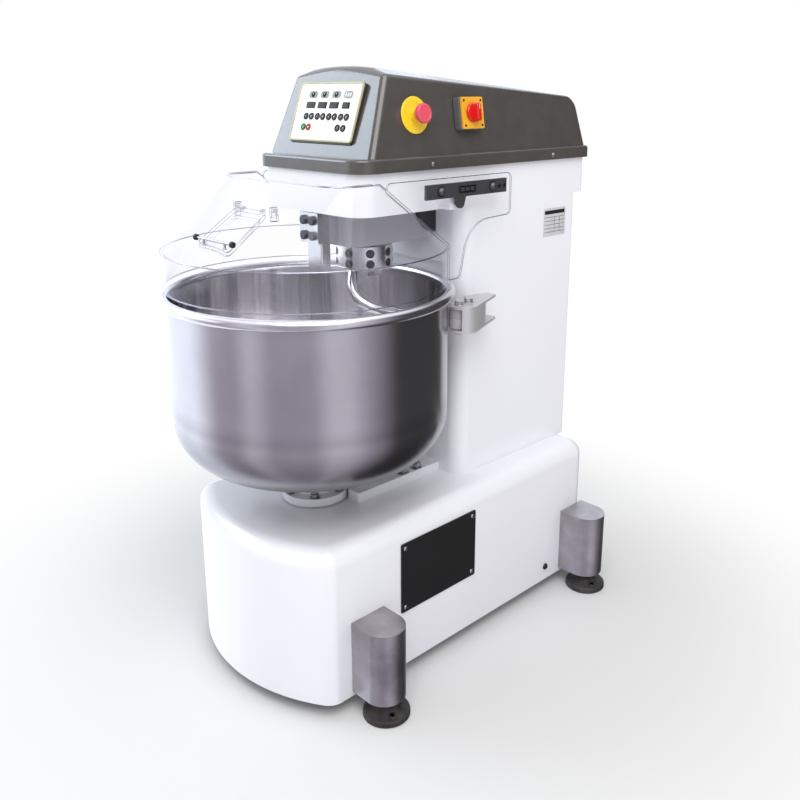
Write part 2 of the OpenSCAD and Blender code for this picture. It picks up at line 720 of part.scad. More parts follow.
module hatch_flap() color([0.85, 0.88, 0.95, 0.35]) from_bowl_axis() {
    difference() {
        intersection() {
            guard_front(-8, -4.4);
            hatch_prism(0);
        }
        guard_front(-1, -1.6);
    }
    translate([hatch_x - hatch[0] - 14, hatch_axis[0], hatch_axis[1]]) rotate([0, 90, 0])
        cylinder(h = 2 * hatch[0] + 28, r = hatch_pin_r);
    for (x = [-32, 32]) translate([hatch_x + x, 0, 0]) rotate([90, 0, 90]) linear_extrude(8, center = true)
        polygon([[hatch[2] - 14, slope_z(hatch[2] - 14) + 5], [hatch[2] + 6, slope_z(hatch[2]) + 9],
                 [hatch[2] + 9, slope_z(hatch[2]) + 14], [hatch[2] - 14, slope_z(hatch[2] - 14) + 9]]);
}

module hatch_handle() color([0.2, 0.2, 0.22]) from_bowl_axis() {
    y = hatch[1] + 5;
    z = slope_z(y) + 15;
    reach = hatch[0] + 10;
    translate([hatch_x - reach, y, z]) rotate([0, 90, 0]) cylinder(h = 2 * reach, r = 2.5);
    for (s = [-1, 1]) translate([hatch_x + s * reach, y, z])
        rotate([0, 90, 0]) cylinder(h = 9, r = 6, center = true);
    difference() {
        for (s = [-1, 1]) translate([hatch_x + s * 36, y, z - 15]) cylinder(h = 15, r = 3);
        guard_front(-8, -4.4);
    }
}

// ---------- guide roller ----------

module bracket_outline(inset) {
    offset(-inset) hull() {
        translate([roller_pos[0] + 6, roller_pos[1] + 6]) circle(32);
        translate([column_half_w + 20, 300]) square([30, 56]);
    }
}

module roller_bracket() color([0.72, 0.72, 0.73]) from_bowl_axis() difference() {
    union() {
        for (z = [bracket_z[0], bracket_z[1] - bracket_t]) translate([0, 0, z])
            linear_extrude(bracket_t) difference() {
                bracket_outline(0);
                circle(bowl_r + 5, $fn = 180);
            }
        translate([0, 0, bracket_z[0]]) linear_extrude(bracket_z[1] - bracket_z[0]) difference() {
            bracket_outline(0);
            bracket_outline(3);
            circle(bowl_r + 30, $fn = 180);
            translate([0, 290]) square(400);
        }
        translate([column_half_w, 306, bracket_z[0] + bracket_t])
            cube([26, 44, bracket_z[1] - bracket_z[0] - 2 * bracket_t]);
    }
    translate([roller_pos[0], roller_pos[1], bracket_z[0] - 1]) cylinder(h = 80, r = roller_pin_r + 0.1);
}

module roller_bolts() color([0.6, 0.61, 0.63]) from_bowl_axis() {
    translate([roller_pos[0], roller_pos[1], bracket_z[0] - 8]) {
        cylinder(h = bracket_z[1] - bracket_z[0] + 20, r = roller_pin_r - 0.05);
        cylinder(h = 8, r = 11, $fn = 6);
    }
    translate([roller_pos[0], roller_pos[1], bracket_z[1]]) {
        cylinder(h = 9, r = 11, $fn = 6);
    }
    translate([roller_pos[0] - 4, roller_pos[1] + 34, bracket_z[1]]) cylinder(h = 8, r = 9, $fn = 6);
}

module guide_roller() color([0.12, 0.12, 0.13]) from_bowl_axis()
    translate([roller_pos[0], roller_pos[1], bracket_z[0] + bracket_t + 1])
        ring(roller_r, roller_pin_r, bracket_z[1] - bracket_z[0] - 2 * bracket_t - 2);

// ---------- feet ----------

module at_feet() for (sx = [-1, 1]) for (y = foot_y)
    translate([sx * base_half_w, y, 0]) mirror([sx < 0 ? 1 : 0, 0, 0]) children();

module foot_cover_outline(r) {
    translate([0, -r]) square([foot_cover[1], 2 * r]);
    translate([foot_cover[1], 0]) circle(r);
}

module foot_columns() color([0.6, 0.6, 0.61]) from_bowl_axis() at_feet() difference() {
    union() {
        difference() {
            translate([0, 0, foot_cover[2]]) linear_extrude(foot_cover[3] - foot_cover[2])
                foot_cover_outline(foot_cover[0]);
            translate([0, 0, foot_cover[2] - 1]) linear_extrude(foot_cover[3] - foot_cover[2] - 2)
                intersection() {
                    foot_cover_outline(foot_cover[0] - skin);
                    translate([skin, -60]) square([200, 120]);
                }
        }
        translate([0, -30, foot_cover[2] + 20]) cube([foot_x - base_half_w + 24, 60, 20]);
        translate([foot_x - base_half_w, 0, foot_cover[2] + 20]) cylinder(h = 80, r = 16);
    }
    translate([foot_x - base_half_w, 0, foot_cover[2]]) cylinder(h = 110, r = stud_r);
}

module levelling_foot(sx, y) color([0.1, 0.1, 0.1]) from_bowl_axis()
    translate([sx * foot_x, y, 0]) {
        rotate_extrude($fn = 64) polygon(concat(
            [[0, 0], [pad_r - 2, 0], [pad_r, 2], [pad_r, 9]],
            arc([pad_r - 5, 9], 5, 0, 80, 4),
            [[30, 18], [24, 30], [0, 30]]));
        translate([0, 0, 29]) cylinder(h = 9, r = 14, $fn = 6);
        translate([0, 0, 29]) cylinder(h = 100, r = stud_r - gap);
    }

// ---------- small fasteners and the cable inlet ----------

module casing_fasteners() color([0.7, 0.71, 0.72]) from_bowl_axis() {
    // side panels
    both_sides() at_side_panel(base_half_w + panel_t) for (s = [-1, 1]) for (t = [-1, 1])
        translate([s * ((panel_y[1] - panel_y[0]) / 2 - 12), t * ((panel_z[1] - panel_z[0]) / 2 - 12), 0])
            pan_screw(5, 2.5);
    // rear panel
    for (x = [-135, 135]) for (z = [425, 705, 985])
        translate([x, column_rear_y + 2.5, z]) rotate([-90, 0, 0]) pan_screw(5, 2.5);
    // cover trim
    both_sides() for (y = [196, 600])
        translate([trim_half_w, y, cover_z + 11]) rotate([0, 90, 0]) pan_screw(5, 2.5);
    // plinth and earth bolts
    both_sides() for (y = [185, 228])
        translate([92, y, plinth[3]]) {
            cylinder(h = 2, r = 13);
            cylinder(h = 10, r = 9.5 / cos(30), $fn = 6);
        }
    both_sides() translate([base_half_w, 548, 70]) rotate([0, 90, 0]) pan_screw(8, 5);
}

module cable_gland() color([0.15, 0.15, 0.16]) from_bowl_axis() at_gland() difference() {
    union() {
        translate([0, 0, -12]) cylinder(h = 13, r = gland_r - gap);
        cylinder(h = 6, r = 16 / cos(30), $fn = 6);
        translate([0, 0, 6]) cylinder(h = 18, r = 12);
    }
    translate([0, 0, -13]) cylinder(h = 50, r = gland_bore_r);
}

// ---------- the assembly ----------

base_shell();
chassis_frame();
shaft_bearings();
bowl_motor();
spiral_motor();
drive_belts();
side_panels();
casing_fasteners();
column_shell();
rear_panel();
head_housing();
arm_gearbox();
top_cover();
control_panel();
display_board();
estop_collar();
switch_box();
switch_plate();
breaker_clamp();
clamp_screws();
breaker_bar();
roller_bracket();
roller_bolts();
foot_columns();
cable_gland();
guard_pivot_blocks();
bowl();
bowl_shaft();
hub_bolts();
bowl_pulley();
bowl_motor_pulley();
spiral_shaft();
spiral_pulley();
spiral_motor_pulley();
hook_flange();
flange_screws();
spiral_hook();
guard_shell();
guard_bars();
hatch_flap();
hatch_handle();
guide_roller();
levelling_foot(-1, foot_y[0]);  // foot_front_left
levelling_foot(1, foot_y[0]);  // foot_front_right
levelling_foot(-1, foot_y[1]);  // foot_rear_left
levelling_foot(1, foot_y[1]);  // foot_rear_right
estop_button();
switch_knob();
timer_key(1);  // timer_key_1
timer_key(2);  // timer_key_2
timer_key(3);  // timer_key_3
timer_key(4);  // timer_key_4
timer_key(5);  // timer_key_5
timer_key(6);  // timer_key_6
timer_key(7);  // timer_key_7
timer_key(8);  // timer_key_8
mode_key(1);  // mode_key_1
mode_key(2);  // mode_key_2
start_button();
stop_button();
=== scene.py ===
"""The finished look of a floor-standing spiral dough mixer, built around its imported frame."""
import json
import math

import bmesh
import bpy
from bpy.props import FloatProperty, FloatVectorProperty, IntProperty, PointerProperty
from mathutils import Matrix, Vector


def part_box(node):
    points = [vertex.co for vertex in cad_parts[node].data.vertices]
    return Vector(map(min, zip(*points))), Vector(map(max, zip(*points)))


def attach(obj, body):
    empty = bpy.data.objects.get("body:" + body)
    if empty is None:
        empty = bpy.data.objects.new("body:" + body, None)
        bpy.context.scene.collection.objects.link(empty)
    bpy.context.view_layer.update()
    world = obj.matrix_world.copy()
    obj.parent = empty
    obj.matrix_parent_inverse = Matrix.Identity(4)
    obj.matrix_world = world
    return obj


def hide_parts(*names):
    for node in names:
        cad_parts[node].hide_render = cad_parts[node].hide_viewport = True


bl_info = {
    "name": "Spiral Dough Mixer",
    "version": (1, 0, 0),
    "blender": (4, 5, 0),
    "location": "3D View > Sidebar > Mixer",
    "description": "Builds the casings, bowl, guard, controls and feet of a spiral dough mixer",
    "category": "Object",
}

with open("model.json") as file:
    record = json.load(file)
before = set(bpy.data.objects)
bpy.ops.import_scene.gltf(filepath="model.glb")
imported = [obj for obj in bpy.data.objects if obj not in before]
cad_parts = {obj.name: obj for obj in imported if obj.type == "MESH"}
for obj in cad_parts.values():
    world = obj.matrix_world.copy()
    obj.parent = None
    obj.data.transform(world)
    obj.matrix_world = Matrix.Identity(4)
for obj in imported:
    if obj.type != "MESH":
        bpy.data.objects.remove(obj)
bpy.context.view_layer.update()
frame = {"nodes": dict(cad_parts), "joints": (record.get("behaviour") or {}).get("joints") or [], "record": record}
NODES = frame["nodes"]
JOINTS = {joint["name"]: joint for joint in frame["joints"]}
BODY_OF = {node: body for body, members in frame["record"]["behaviour"]["bodies"].items() for node in members}

MM = 0.001
ACROSS = Vector((1, 0, 0))
BACK = Vector((0, 1, 0))
UP = Vector((0, 0, 1))


def in_mm(points):
    """An outline given in millimetres, turned into metres."""
    return [(radius * MM, height * MM) for radius, height in points]


def shift(x, y, z):
    """A matrix that moves a piece."""
    return Matrix.Translation((x, y, z))


def middle(node):
    """The centre of a node's box."""
    low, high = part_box(node)
    return (low + high) / 2


BOWL_AXIS = Vector(JOINTS["bowl_spin"]["pos_m"])
SPIRAL_AXIS = Vector(JOINTS["spiral_spin"]["pos_m"])
FACE_NORMAL = -Vector(JOINTS["timer_key_1_press"]["axis"]).normalized()
SIDE_NORMAL = -Vector(JOINTS["estop_press"]["axis"]).normalized()


def frame_at(origin, normal, across):
    """A placing matrix whose Z is the normal and whose X runs across."""
    z_axis = normal.normalized()
    x_axis = (across - z_axis * across.dot(z_axis)).normalized()
    y_axis = z_axis.cross(x_axis)
    turn = Matrix((x_axis, y_axis, z_axis)).transposed().to_4x4()
    return Matrix.Translation(origin) @ turn


PANEL_THICK = 4 * MM
PANEL_LIFT = 0.5 * MM
PANEL_POINT = middle("control_panel") + FACE_NORMAL * (PANEL_THICK / 2 + PANEL_LIFT)
ON_PANEL = frame_at(PANEL_POINT, FACE_NORMAL, ACROSS)
SWITCH_POINT = Vector(JOINTS["switch_turn"]["pos_m"])
STOP_POINT = Vector((SWITCH_POINT.x, middle("estop_button").y, SWITCH_POINT.z))
ON_STOP = frame_at(STOP_POINT, SIDE_NORMAL, BACK)
ON_SWITCH = frame_at(SWITCH_POINT, SIDE_NORMAL, BACK)


# ---------- sizes and colours a user would change ----------


class MixerLooks(bpy.types.PropertyGroup):
    """Colours and small sizes of the mixer's finish."""

    casing_colour: FloatVectorProperty(
        name="Casing", description="Colour of the powder coat", subtype="COLOR", default=(0.88, 0.88, 0.935))
    cover_colour: FloatVectorProperty(
        name="Cover", description="Colour of the moulded top cover", subtype="COLOR",
        default=(0.078, 0.071, 0.066))
    steel_colour: FloatVectorProperty(
        name="Steel", description="Tint of the stainless steel", subtype="COLOR", default=(0.62, 0.60, 0.63))
    key_colour: FloatVectorProperty(
        name="Keys", description="Colour of the round keys", subtype="COLOR", default=(0.006, 0.006, 0.007))
    edge_radius: FloatProperty(
        name="Edge radius", description="Radius that softens sheet edges", default=0.0008, unit="LENGTH")
    bowl_steps: IntProperty(
        name="Bowl steps", description="Segments round the bowl", default=144, min=48, max=256)
    peel_depth: FloatProperty(
        name="Coat ripple", description="Depth of the ripple in the powder coat", default=0.00012,
        unit="LENGTH")


# ---------- modelling helpers ----------


def only(piece):
    """Makes one object the selected and active one."""
    bpy.ops.object.select_all(action="DESELECT")
    piece.select_set(True)
    bpy.context.view_layer.objects.active = piece


def place(piece, matrix):
    """Puts a piece where the matrix says and applies its transform."""
    piece.matrix_world = matrix @ piece.matrix_world
    only(piece)
    bpy.ops.object.transform_apply(location=True, rotation=True, scale=True)
    return piece


def pick(piece, test, kind="EDGE"):
    """Selects the edges or faces that pass a test, in edit mode."""
    bpy.ops.mesh.select_mode(type=kind)
    bpy.ops.mesh.select_all(action="DESELECT")
    shape = bmesh.from_edit_mesh(piece.data)
    for item in shape.faces if kind == "FACE" else shape.edges:
        if test(item):
            item.select_set(True)
    bmesh.update_edit_mesh(piece.data)


def started(name):
    """Names the new primitive and opens it for editing."""
    piece = bpy.context.object
    piece.name = name
    bpy.ops.object.transform_apply(location=True, rotation=True, scale=True)
    bpy.ops.object.mode_set(mode="EDIT")
    bpy.ops.mesh.select_mode(type="VERT")
    bpy.ops.mesh.select_all(action="SELECT")
    return piece


def closed():
    """Leaves edit mode."""
    bpy.ops.object.mode_set(mode="OBJECT")


def lathe(name, profile, steps=48):
    """A turned shape about Z, from (radius, height) points."""
    bpy.ops.object.select_all(action="DESELECT")
    bpy.ops.mesh.primitive_plane_add(size=MM, location=(0, 0, 0))
    piece = started(name)
    bpy.ops.mesh.merge(type="CENTER")
    here = Vector((0, 0, 0))
    for index, (radius, height) in enumerate(profile):
        there = Vector((radius, 0, height))
        if index:
            bpy.ops.mesh.extrude_region_move(TRANSFORM_OT_translate={"value": there - here})
        else:
            bpy.ops.transform.translate(value=there - here)
        here = there
    bpy.ops.mesh.select_all(action="SELECT")
    bpy.ops.mesh.spin(steps=steps, angle=2 * math.pi, center=(0, 0, 0), axis=(0, 0, 1))
    bpy.ops.mesh.select_all(action="SELECT")
    bpy.ops.mesh.remove_doubles(threshold=1e-6)
    bpy.ops.mesh.normals_make_consistent(inside=False)
    closed()
    return piece


def plate(name, width, height, thick, corner=0.0, edge=0.0):
    """A sheet from z = 0 up, with rounded corners and softened front edges."""
    bpy.ops.object.select_all(action="DESELECT")
    bpy.ops.mesh.primitive_cube_add(size=1, location=(0, 0, thick / 2), scale=(width, height, thick))
    piece = started(name)
    if corner:
        pick(piece, lambda e: abs((e.verts[0].co - e.verts[1].co).normalized().z) > 0.9)
        bpy.ops.mesh.bevel(offset=corner, segments=6, affect="EDGES")
    if edge:
        pick(piece, lambda e: all(abs(v.co.z - thick) < 1e-7 for v in e.verts))
        bpy.ops.mesh.bevel(offset=edge, segments=3, affect="EDGES")
    closed()
    return piece


def hex_head(name, across, high):
    """A hexagon bolt head with a domed top on its washer."""
    bpy.ops.object.select_all(action="DESELECT")
    bpy.ops.mesh.primitive_cylinder_add(
        vertices=6, radius=across / 2 / math.cos(math.pi / 6), depth=high, location=(0, 0, high / 2))
    head = started(name)
    pick(head, lambda f: f.normal.z > 0.9, "FACE")
    bpy.ops.mesh.inset(thickness=across * 0.09)
    bpy.ops.transform.translate(value=(0, 0, high * 0.12))
    bpy.ops.mesh.inset(thickness=across * 0.14)
    bpy.ops.transform.translate(value=(0, 0, -high * 0.1))
    pick(head, lambda e: abs((e.verts[0].co - e.verts[1].co).normalized().z) > 0.95)
    bpy.ops.mesh.bevel(offset=across * 0.03, segments=2, affect="EDGES")
    closed()
    rim = across * 0.72
    thick = high * 0.22
    ring = [(0, 0), (rim, 0), (rim, high * 0.16), (rim * 0.95, thick), (0, thick)]
    washer = lathe(name + "_washer", ring, 36)
    place(head, Matrix.Translation((0, 0, high * 0.2)))
    return joined(name, [head, washer])


def slot_screw(name, radius):
    """A pan-head screw with a driving slot."""
    high = radius * 0.5
    slot = radius * 0.13
    head = lathe(name, [(0, 0), (radius, 0), (radius, high * 0.35), (radius * 0.9, high * 0.75),
                        (radius * 0.62, high), (0, high * 1.08)], 32)
    only(head)
    bpy.ops.object.mode_set(mode="EDIT")
    bpy.ops.mesh.select_all(action="SELECT")
    for side in (-1, 1):
        bpy.ops.mesh.bisect(plane_co=(0, side * slot, 0), plane_no=(0, 1, 0))
        bpy.ops.mesh.select_all(action="SELECT")
    pick(head, lambda f: f.normal.z > 0.5 and abs(f.calc_center_median().y) < slot, "FACE")
    bpy.ops.mesh.extrude_region_move(TRANSFORM_OT_translate={"value": (0, 0, -high * 0.5)})
    closed()
    return head


def twin(piece, name, matrix):
    """A copy of a piece with its own mesh, put where the matrix says."""
    other = piece.copy()
    other.data = piece.data.copy()
    other.name = name
    bpy.context.scene.collection.objects.link(other)
    return place(other, matrix)


def discard(piece):
    """Removes a pattern piece after its copies are made."""
    bpy.data.objects.remove(piece)


def joined(name, pieces):
    """Several shapes as one piece."""
    bpy.ops.object.select_all(action="DESELECT")
    for piece in pieces:
        piece.select_set(True)
    bpy.context.view_layer.objects.active = pieces[0]
    if len(pieces) > 1:
        bpy.ops.object.join()
    whole = bpy.context.view_layer.objects.active
    whole.name = name
    return whole


def repeated(name, pattern, matrices):
    """Copies of one shape at many places, as one piece."""
    whole = joined(name, [twin(pattern, f"{name}_{i}", m) for i, m in enumerate(matrices)])
    discard(pattern)
    return whole


def finished(piece, body, finish, replaces=(), sharp=32.0):
    """Gives a piece its finish, smooth shading and body, and hides the nodes it replaces."""
    piece.data.materials.clear()
    piece.data.materials.append(finish)
    only(piece)
    bpy.ops.object.shade_smooth_by_angle(angle=math.radians(sharp))
    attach(piece, body)
    if replaces:
        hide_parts(*replaces)
    return piece


def refined(node, finish, sharp=30.0, edge=0.0):
    """A welded, smooth copy of a node's shape, which stands for that node."""
    piece = bpy.data.objects.new(node + "_finished", NODES[node].data.copy())
    bpy.context.scene.collection.objects.link(piece)
    only(piece)
    if piece.data.has_custom_normals:
        bpy.ops.mesh.customdata_custom_splitnormals_clear()
    bpy.ops.object.mode_set(mode="EDIT")
    bpy.ops.mesh.select_all(action="SELECT")
    bpy.ops.mesh.remove_doubles(threshold=1e-5)
    bpy.ops.mesh.dissolve_limited(angle_limit=math.radians(0.4))
    closed()
    if edge:
        bevel = piece.modifiers.new("edge", "BEVEL")
        bevel.width = edge
        bevel.segments = 2
        bevel.limit_method = "ANGLE"
        bevel.angle_limit = math.radians(40)
        bpy.ops.object.modifier_apply(modifier=bevel.name)
    finished(piece, BODY_OF[node], finish, (node,), sharp)
    only(piece)
    weighted = piece.modifiers.new("weighted", "WEIGHTED_NORMAL")
    weighted.keep_sharp = True
    weighted.weight = 90
    bpy.ops.object.modifier_apply(modifier=weighted.name)
    return piece


def edge_lines(node, name, body):
    """Thin glossy beads along a clear sheet's sharp edges: painted highlights standing in for the light lines the
    sheet shows there.
    """
    radius = 0.55 * MM
    bead = bpy.data.objects.new(name, NODES[node].data.copy())
    bpy.context.scene.collection.objects.link(bead)
    only(bead)
    bpy.ops.object.mode_set(mode="EDIT")
    bpy.ops.mesh.select_all(action="SELECT")
    bpy.ops.mesh.remove_doubles(threshold=1e-5)
    bpy.ops.mesh.dissolve_limited(angle_limit=math.radians(1.0))
    pick(bead, lambda e: len(e.link_faces) == 2 and e.calc_face_angle(0) < math.radians(28))
    bpy.ops.mesh.delete(type="EDGE")
    bpy.ops.mesh.select_all(action="SELECT")
    bpy.ops.mesh.delete(type="ONLY_FACE")
    closed()
    only(bead)
    bpy.ops.object.convert(target="CURVE")
    bead = bpy.context.view_layer.objects.active
    bead.data.bevel_depth = radius
    bead.data.bevel_resolution = 1
    bead.data.use_fill_caps = True
    bpy.ops.object.convert(target="MESH")
    bead = bpy.context.view_layer.objects.active
    bead.name = name
    return finished(bead, body, finish_of("painted_edge_glint"), sharp=60.0)


def arc(centre, radius, start, end, steps):
    """Points of an arc in (radius, height), both ends included."""
    turn = [math.radians(start + (end - start) * i / steps) for i in range(steps + 1)]
    return [(centre[0] + radius * math.cos(a), centre[1] + radius * math.sin(a)) for a in turn]


# ---------- finishes ----------


class Finish:
    """One node material on the Principled shader."""

    def __init__(self, name, colour, rough, metal=0.0, coat=0.0, coat_rough=0.08):
        self.material = bpy.data.materials.new(name)
        self.material.use_nodes = True
        self.tree = self.material.node_tree
        self.shader = self.tree.nodes["Principled BSDF"]
        self.set("Base Color", (*colour, 1.0))
        self.set("Roughness", rough)
        self.set("Metallic", metal)
        self.set("Coat Weight", coat)
        self.set("Coat Roughness", coat_rough)
        self.colour = colour

    def set(self, socket, value):
        """Sets one of the shader's own values."""
        self.shader.inputs[socket].default_value = value

    def node(self, kind, **settings):
        """Adds a node with its settings."""
        made = self.tree.nodes.new(kind)
        for key, value in settings.items():
            setattr(made, key, value)
        return made

    def link(self, output, target):
        """Joins an output to an input."""
        self.tree.links.new(output, target)

    def pattern(self, scale, stretch=(1, 1, 1), detail=4.0, rough=0.55):
        """Noise on object coordinates, drawn out along the axes with a small stretch value."""
        place_in = self.node("ShaderNodeTexCoord")
        mapping = self.node("ShaderNodeMapping")
        mapping.inputs["Scale"].default_value = stretch
        noise = self.node("ShaderNodeTexNoise")
        noise.inputs["Scale"].default_value = scale
        noise.inputs["Detail"].default_value = detail
        noise.inputs["Roughness"].default_value = rough
        self.link(place_in.outputs["Object"], mapping.inputs["Vector"])
        self.link(mapping.outputs["Vector"], noise.inputs["Vector"])
        return noise.outputs["Fac"]

    def ramp(self, value, stops):
        """A colour ramp through (position, colour) stops."""
        ramp = self.node("ShaderNodeValToRGB")
        band = ramp.color_ramp
        while len(band.elements) < len(stops):
            band.elements.new(0.5)
        for element, (position, colour) in zip(band.elements, stops):
            element.position = position
            element.color = (*colour, 1.0)
        self.link(value, ramp.inputs["Fac"])
        return ramp.outputs["Color"]

    def tone(self, value, low, high, spread=(0.35, 0.65)):
        """Varies the base colour between two shares of itself."""
        shades = [(at, tuple(c * share for c in self.colour)) for at, share in zip(spread, (low, high))]
        self.link(self.ramp(value, shades), self.shader.inputs["Base Color"])

    def gloss(self, value, low, high):
        """Varies the roughness."""
        reach = self.node("ShaderNodeMapRange")
        reach.inputs["From Min"].default_value = 0.3
        reach.inputs["From Max"].default_value = 0.7
        reach.inputs["To Min"].default_value = low
        reach.inputs["To Max"].default_value = high
        self.link(value, reach.inputs["Value"])
        self.link(reach.outputs["Result"], self.shader.inputs["Roughness"])

    def bump(self, value, depth, strength=1.0):
        """Raises the surface by a pattern, in metres."""
        rise = self.node("ShaderNodeBump")
        rise.inputs["Distance"].default_value = depth
        rise.inputs["Strength"].default_value = strength
        self.link(value, rise.inputs["Height"])
        self.link(rise.outputs["Normal"], self.shader.inputs["Normal"])


def powder_coat(name, colour, rough=0.3, coat=0.45):
    """Gloss powder coat with a fine ripple and faint cloudiness."""
    looks = bpy.context.scene.mixer_looks
    finish = Finish(name, colour, rough, coat=coat, coat_rough=0.12)
    finish.tone(finish.pattern(1.6, detail=1.0), 0.99, 1.01)
    finish.gloss(finish.pattern(14.0, detail=2.0), rough - 0.02, rough + 0.03)
    finish.bump(finish.pattern(420.0, detail=1.0), looks.peel_depth, 0.12)
    return finish.material


def brushed(name, colour, stretch, rough=0.27, aniso=0.6, radial=True, stain=0.12, metal=1.0):
    """Brushed stainless steel, its grain drawn out along the axes with a small stretch value."""
    finish = Finish(name, colour, rough, metal=metal)
    finish.set("Anisotropic", aniso)
    grain = finish.pattern(1.0, stretch, detail=6.0, rough=0.7)
    finish.gloss(grain, rough - 0.05, rough + 0.09)
    finish.tone(finish.pattern(9.0, detail=5.0), 1.0 - stain, 1.0 + stain * 0.4)
    finish.bump(grain, 0.00004, 0.5)
    if radial:
        finish.set("Anisotropic Rotation", 0.25)
        way = finish.node("ShaderNodeTangent", direction_type="RADIAL", axis="Z")
        finish.link(way.outputs["Tangent"], finish.shader.inputs["Tangent"])
    return finish.material


def bowl_steel(name, colour):
    """Spun bowl sheet: fine rings, a matt cast in places and painted reflection in its colour, darker towards the
    bottom with a thin darker band a little below mid-height.
    """
    finish = Finish(name, colour, 0.24, metal=1.0)
    finish.set("Anisotropic", 0.75)
    finish.set("Anisotropic Rotation", 0.25)
    rings = finish.pattern(1.0, (3.0, 3.0, 1100.0), detail=6.0, rough=0.7)
    finish.gloss(rings, 0.2, 0.27)
    finish.bump(rings, 0.00002, 0.12)
    where = finish.node("ShaderNodeTexCoord")
    split = finish.node("ShaderNodeSeparateXYZ")
    finish.link(where.outputs["Object"], split.inputs["Vector"])
    low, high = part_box("bowl")
    reach = finish.node("ShaderNodeMapRange")
    reach.inputs["From Min"].default_value = low.z
    reach.inputs["From Max"].default_value = high.z
    finish.link(split.outputs["Z"], reach.inputs["Value"])
    # Painted reflection: the colour darkens towards the bottom, with a thin darker band a little below mid-height.
    painted_reflection_stops = [(0.0, 0.30), (0.16, 0.36), (0.30, 0.52), (0.40, 0.92), (0.44, 0.82), (0.50, 1.0), (1.0, 1.0)]
    painted_reflection_tones = finish.ramp(reach.outputs["Result"], [(at, tuple(c * k for c in colour)) for at, k in painted_reflection_stops])
    cast = finish.ramp(finish.pattern(5.0, detail=6.0), [(0.35, (0.88, 0.87, 0.88)), (0.62, (1.0, 1.0, 1.0))])
    mix = finish.node("ShaderNodeMix", data_type="RGBA", blend_type="MULTIPLY")
    mix.inputs["Factor"].default_value = 1.0
    finish.link(painted_reflection_tones, mix.inputs["A"])
    finish.link(cast, mix.inputs["B"])
    finish.link(mix.outputs["Result"], finish.shader.inputs["Base Color"])
    way = finish.node("ShaderNodeTangent", direction_type="RADIAL", axis="Z")
    finish.link(way.outputs["Tangent"], finish.shader.inputs["Tangent"])
    return finish.material


def bowl_inside(name, colour):
    """Polished inside of the bowl, with upright light and dark streaks in its colour that are painted reflection
    bands.
    """
    finish = Finish(name, colour, 0.2, metal=1.0)
    finish.set("Anisotropic", 0.6)
    finish.set("Anisotropic Rotation", 0.25)
    # Painted reflection: upright light and dark streaks in the colour.
    marks = finish.pattern(1.0, (15.0, 15.0, 0.5), detail=3.0, rough=0.6)
    finish.tone(marks, 0.66, 1.04, (0.4, 0.6))
    finish.gloss(finish.pattern(1.0, (60.0, 60.0, 2.0)), 0.14, 0.26)
    way = finish.node("ShaderNodeTangent", direction_type="RADIAL", axis="Z")
    finish.link(way.outputs["Tangent"], finish.shader.inputs["Tangent"])
    return finish.material


def bright_metal(name, colour, rough=0.14):
    """Plated steel with light scuffs."""
    finish = Finish(name, colour, rough, metal=1.0)
    finish.gloss(finish.pattern(160.0, detail=5.0), rough - 0.04, rough + 0.14)
    finish.tone(finish.pattern(60.0), 0.86, 1.03)
    finish.bump(finish.pattern(500.0), 0.00003, 0.3)
    return finish.material


def moulded(name, colour, rough=0.32, coat=0.25, grain=900.0, depth=0.00004, specular=0.5):
    """Moulded plastic with a fine texture."""
    finish = Finish(name, colour, rough, coat=coat, coat_rough=0.15)
    finish.set("Specular IOR Level", specular)
    finish.tone(finish.pattern(22.0), 0.93, 1.05)
    finish.gloss(finish.pattern(70.0), max(rough - 0.06, 0.03), rough + 0.08)
    finish.bump(finish.pattern(grain, detail=2.0), depth, 0.4)
    return finish.material


def rubber(name, colour):
    """Matt moulded rubber, dusty in places."""
    finish = Finish(name, colour, 0.62)
    finish.set("Specular IOR Level", 0.35)
    finish.tone(finish.pattern(35.0, detail=6.0), 0.7, 1.6)
    finish.gloss(finish.pattern(90.0), 0.5, 0.75)
    finish.bump(finish.pattern(650.0, detail=4.0), 0.00012, 0.6)
    return finish.material


def clear_sheet(name, tint):
    """Clear polycarbonate: seen through face on, bright where it is seen edge on."""
    finish = Finish(name, tint, 0.04, metal=1.0)
    facing = finish.node("ShaderNodeLayerWeight")
    facing.inputs["Blend"].default_value = 0.5
    steep = finish.node("ShaderNodeMath", operation="POWER")
    steep.inputs[1].default_value = 5.0
    cover = finish.node("ShaderNodeMapRange")
    cover.inputs["To Min"].default_value = 0.012
    cover.inputs["To Max"].default_value = 0.6
    finish.link(facing.outputs["Facing"], steep.inputs[0])
    finish.link(steep.outputs["Value"], cover.inputs["Value"])
    finish.link(cover.outputs["Result"], finish.shader.inputs["Alpha"])
    return finish.material


FINISHES = {}


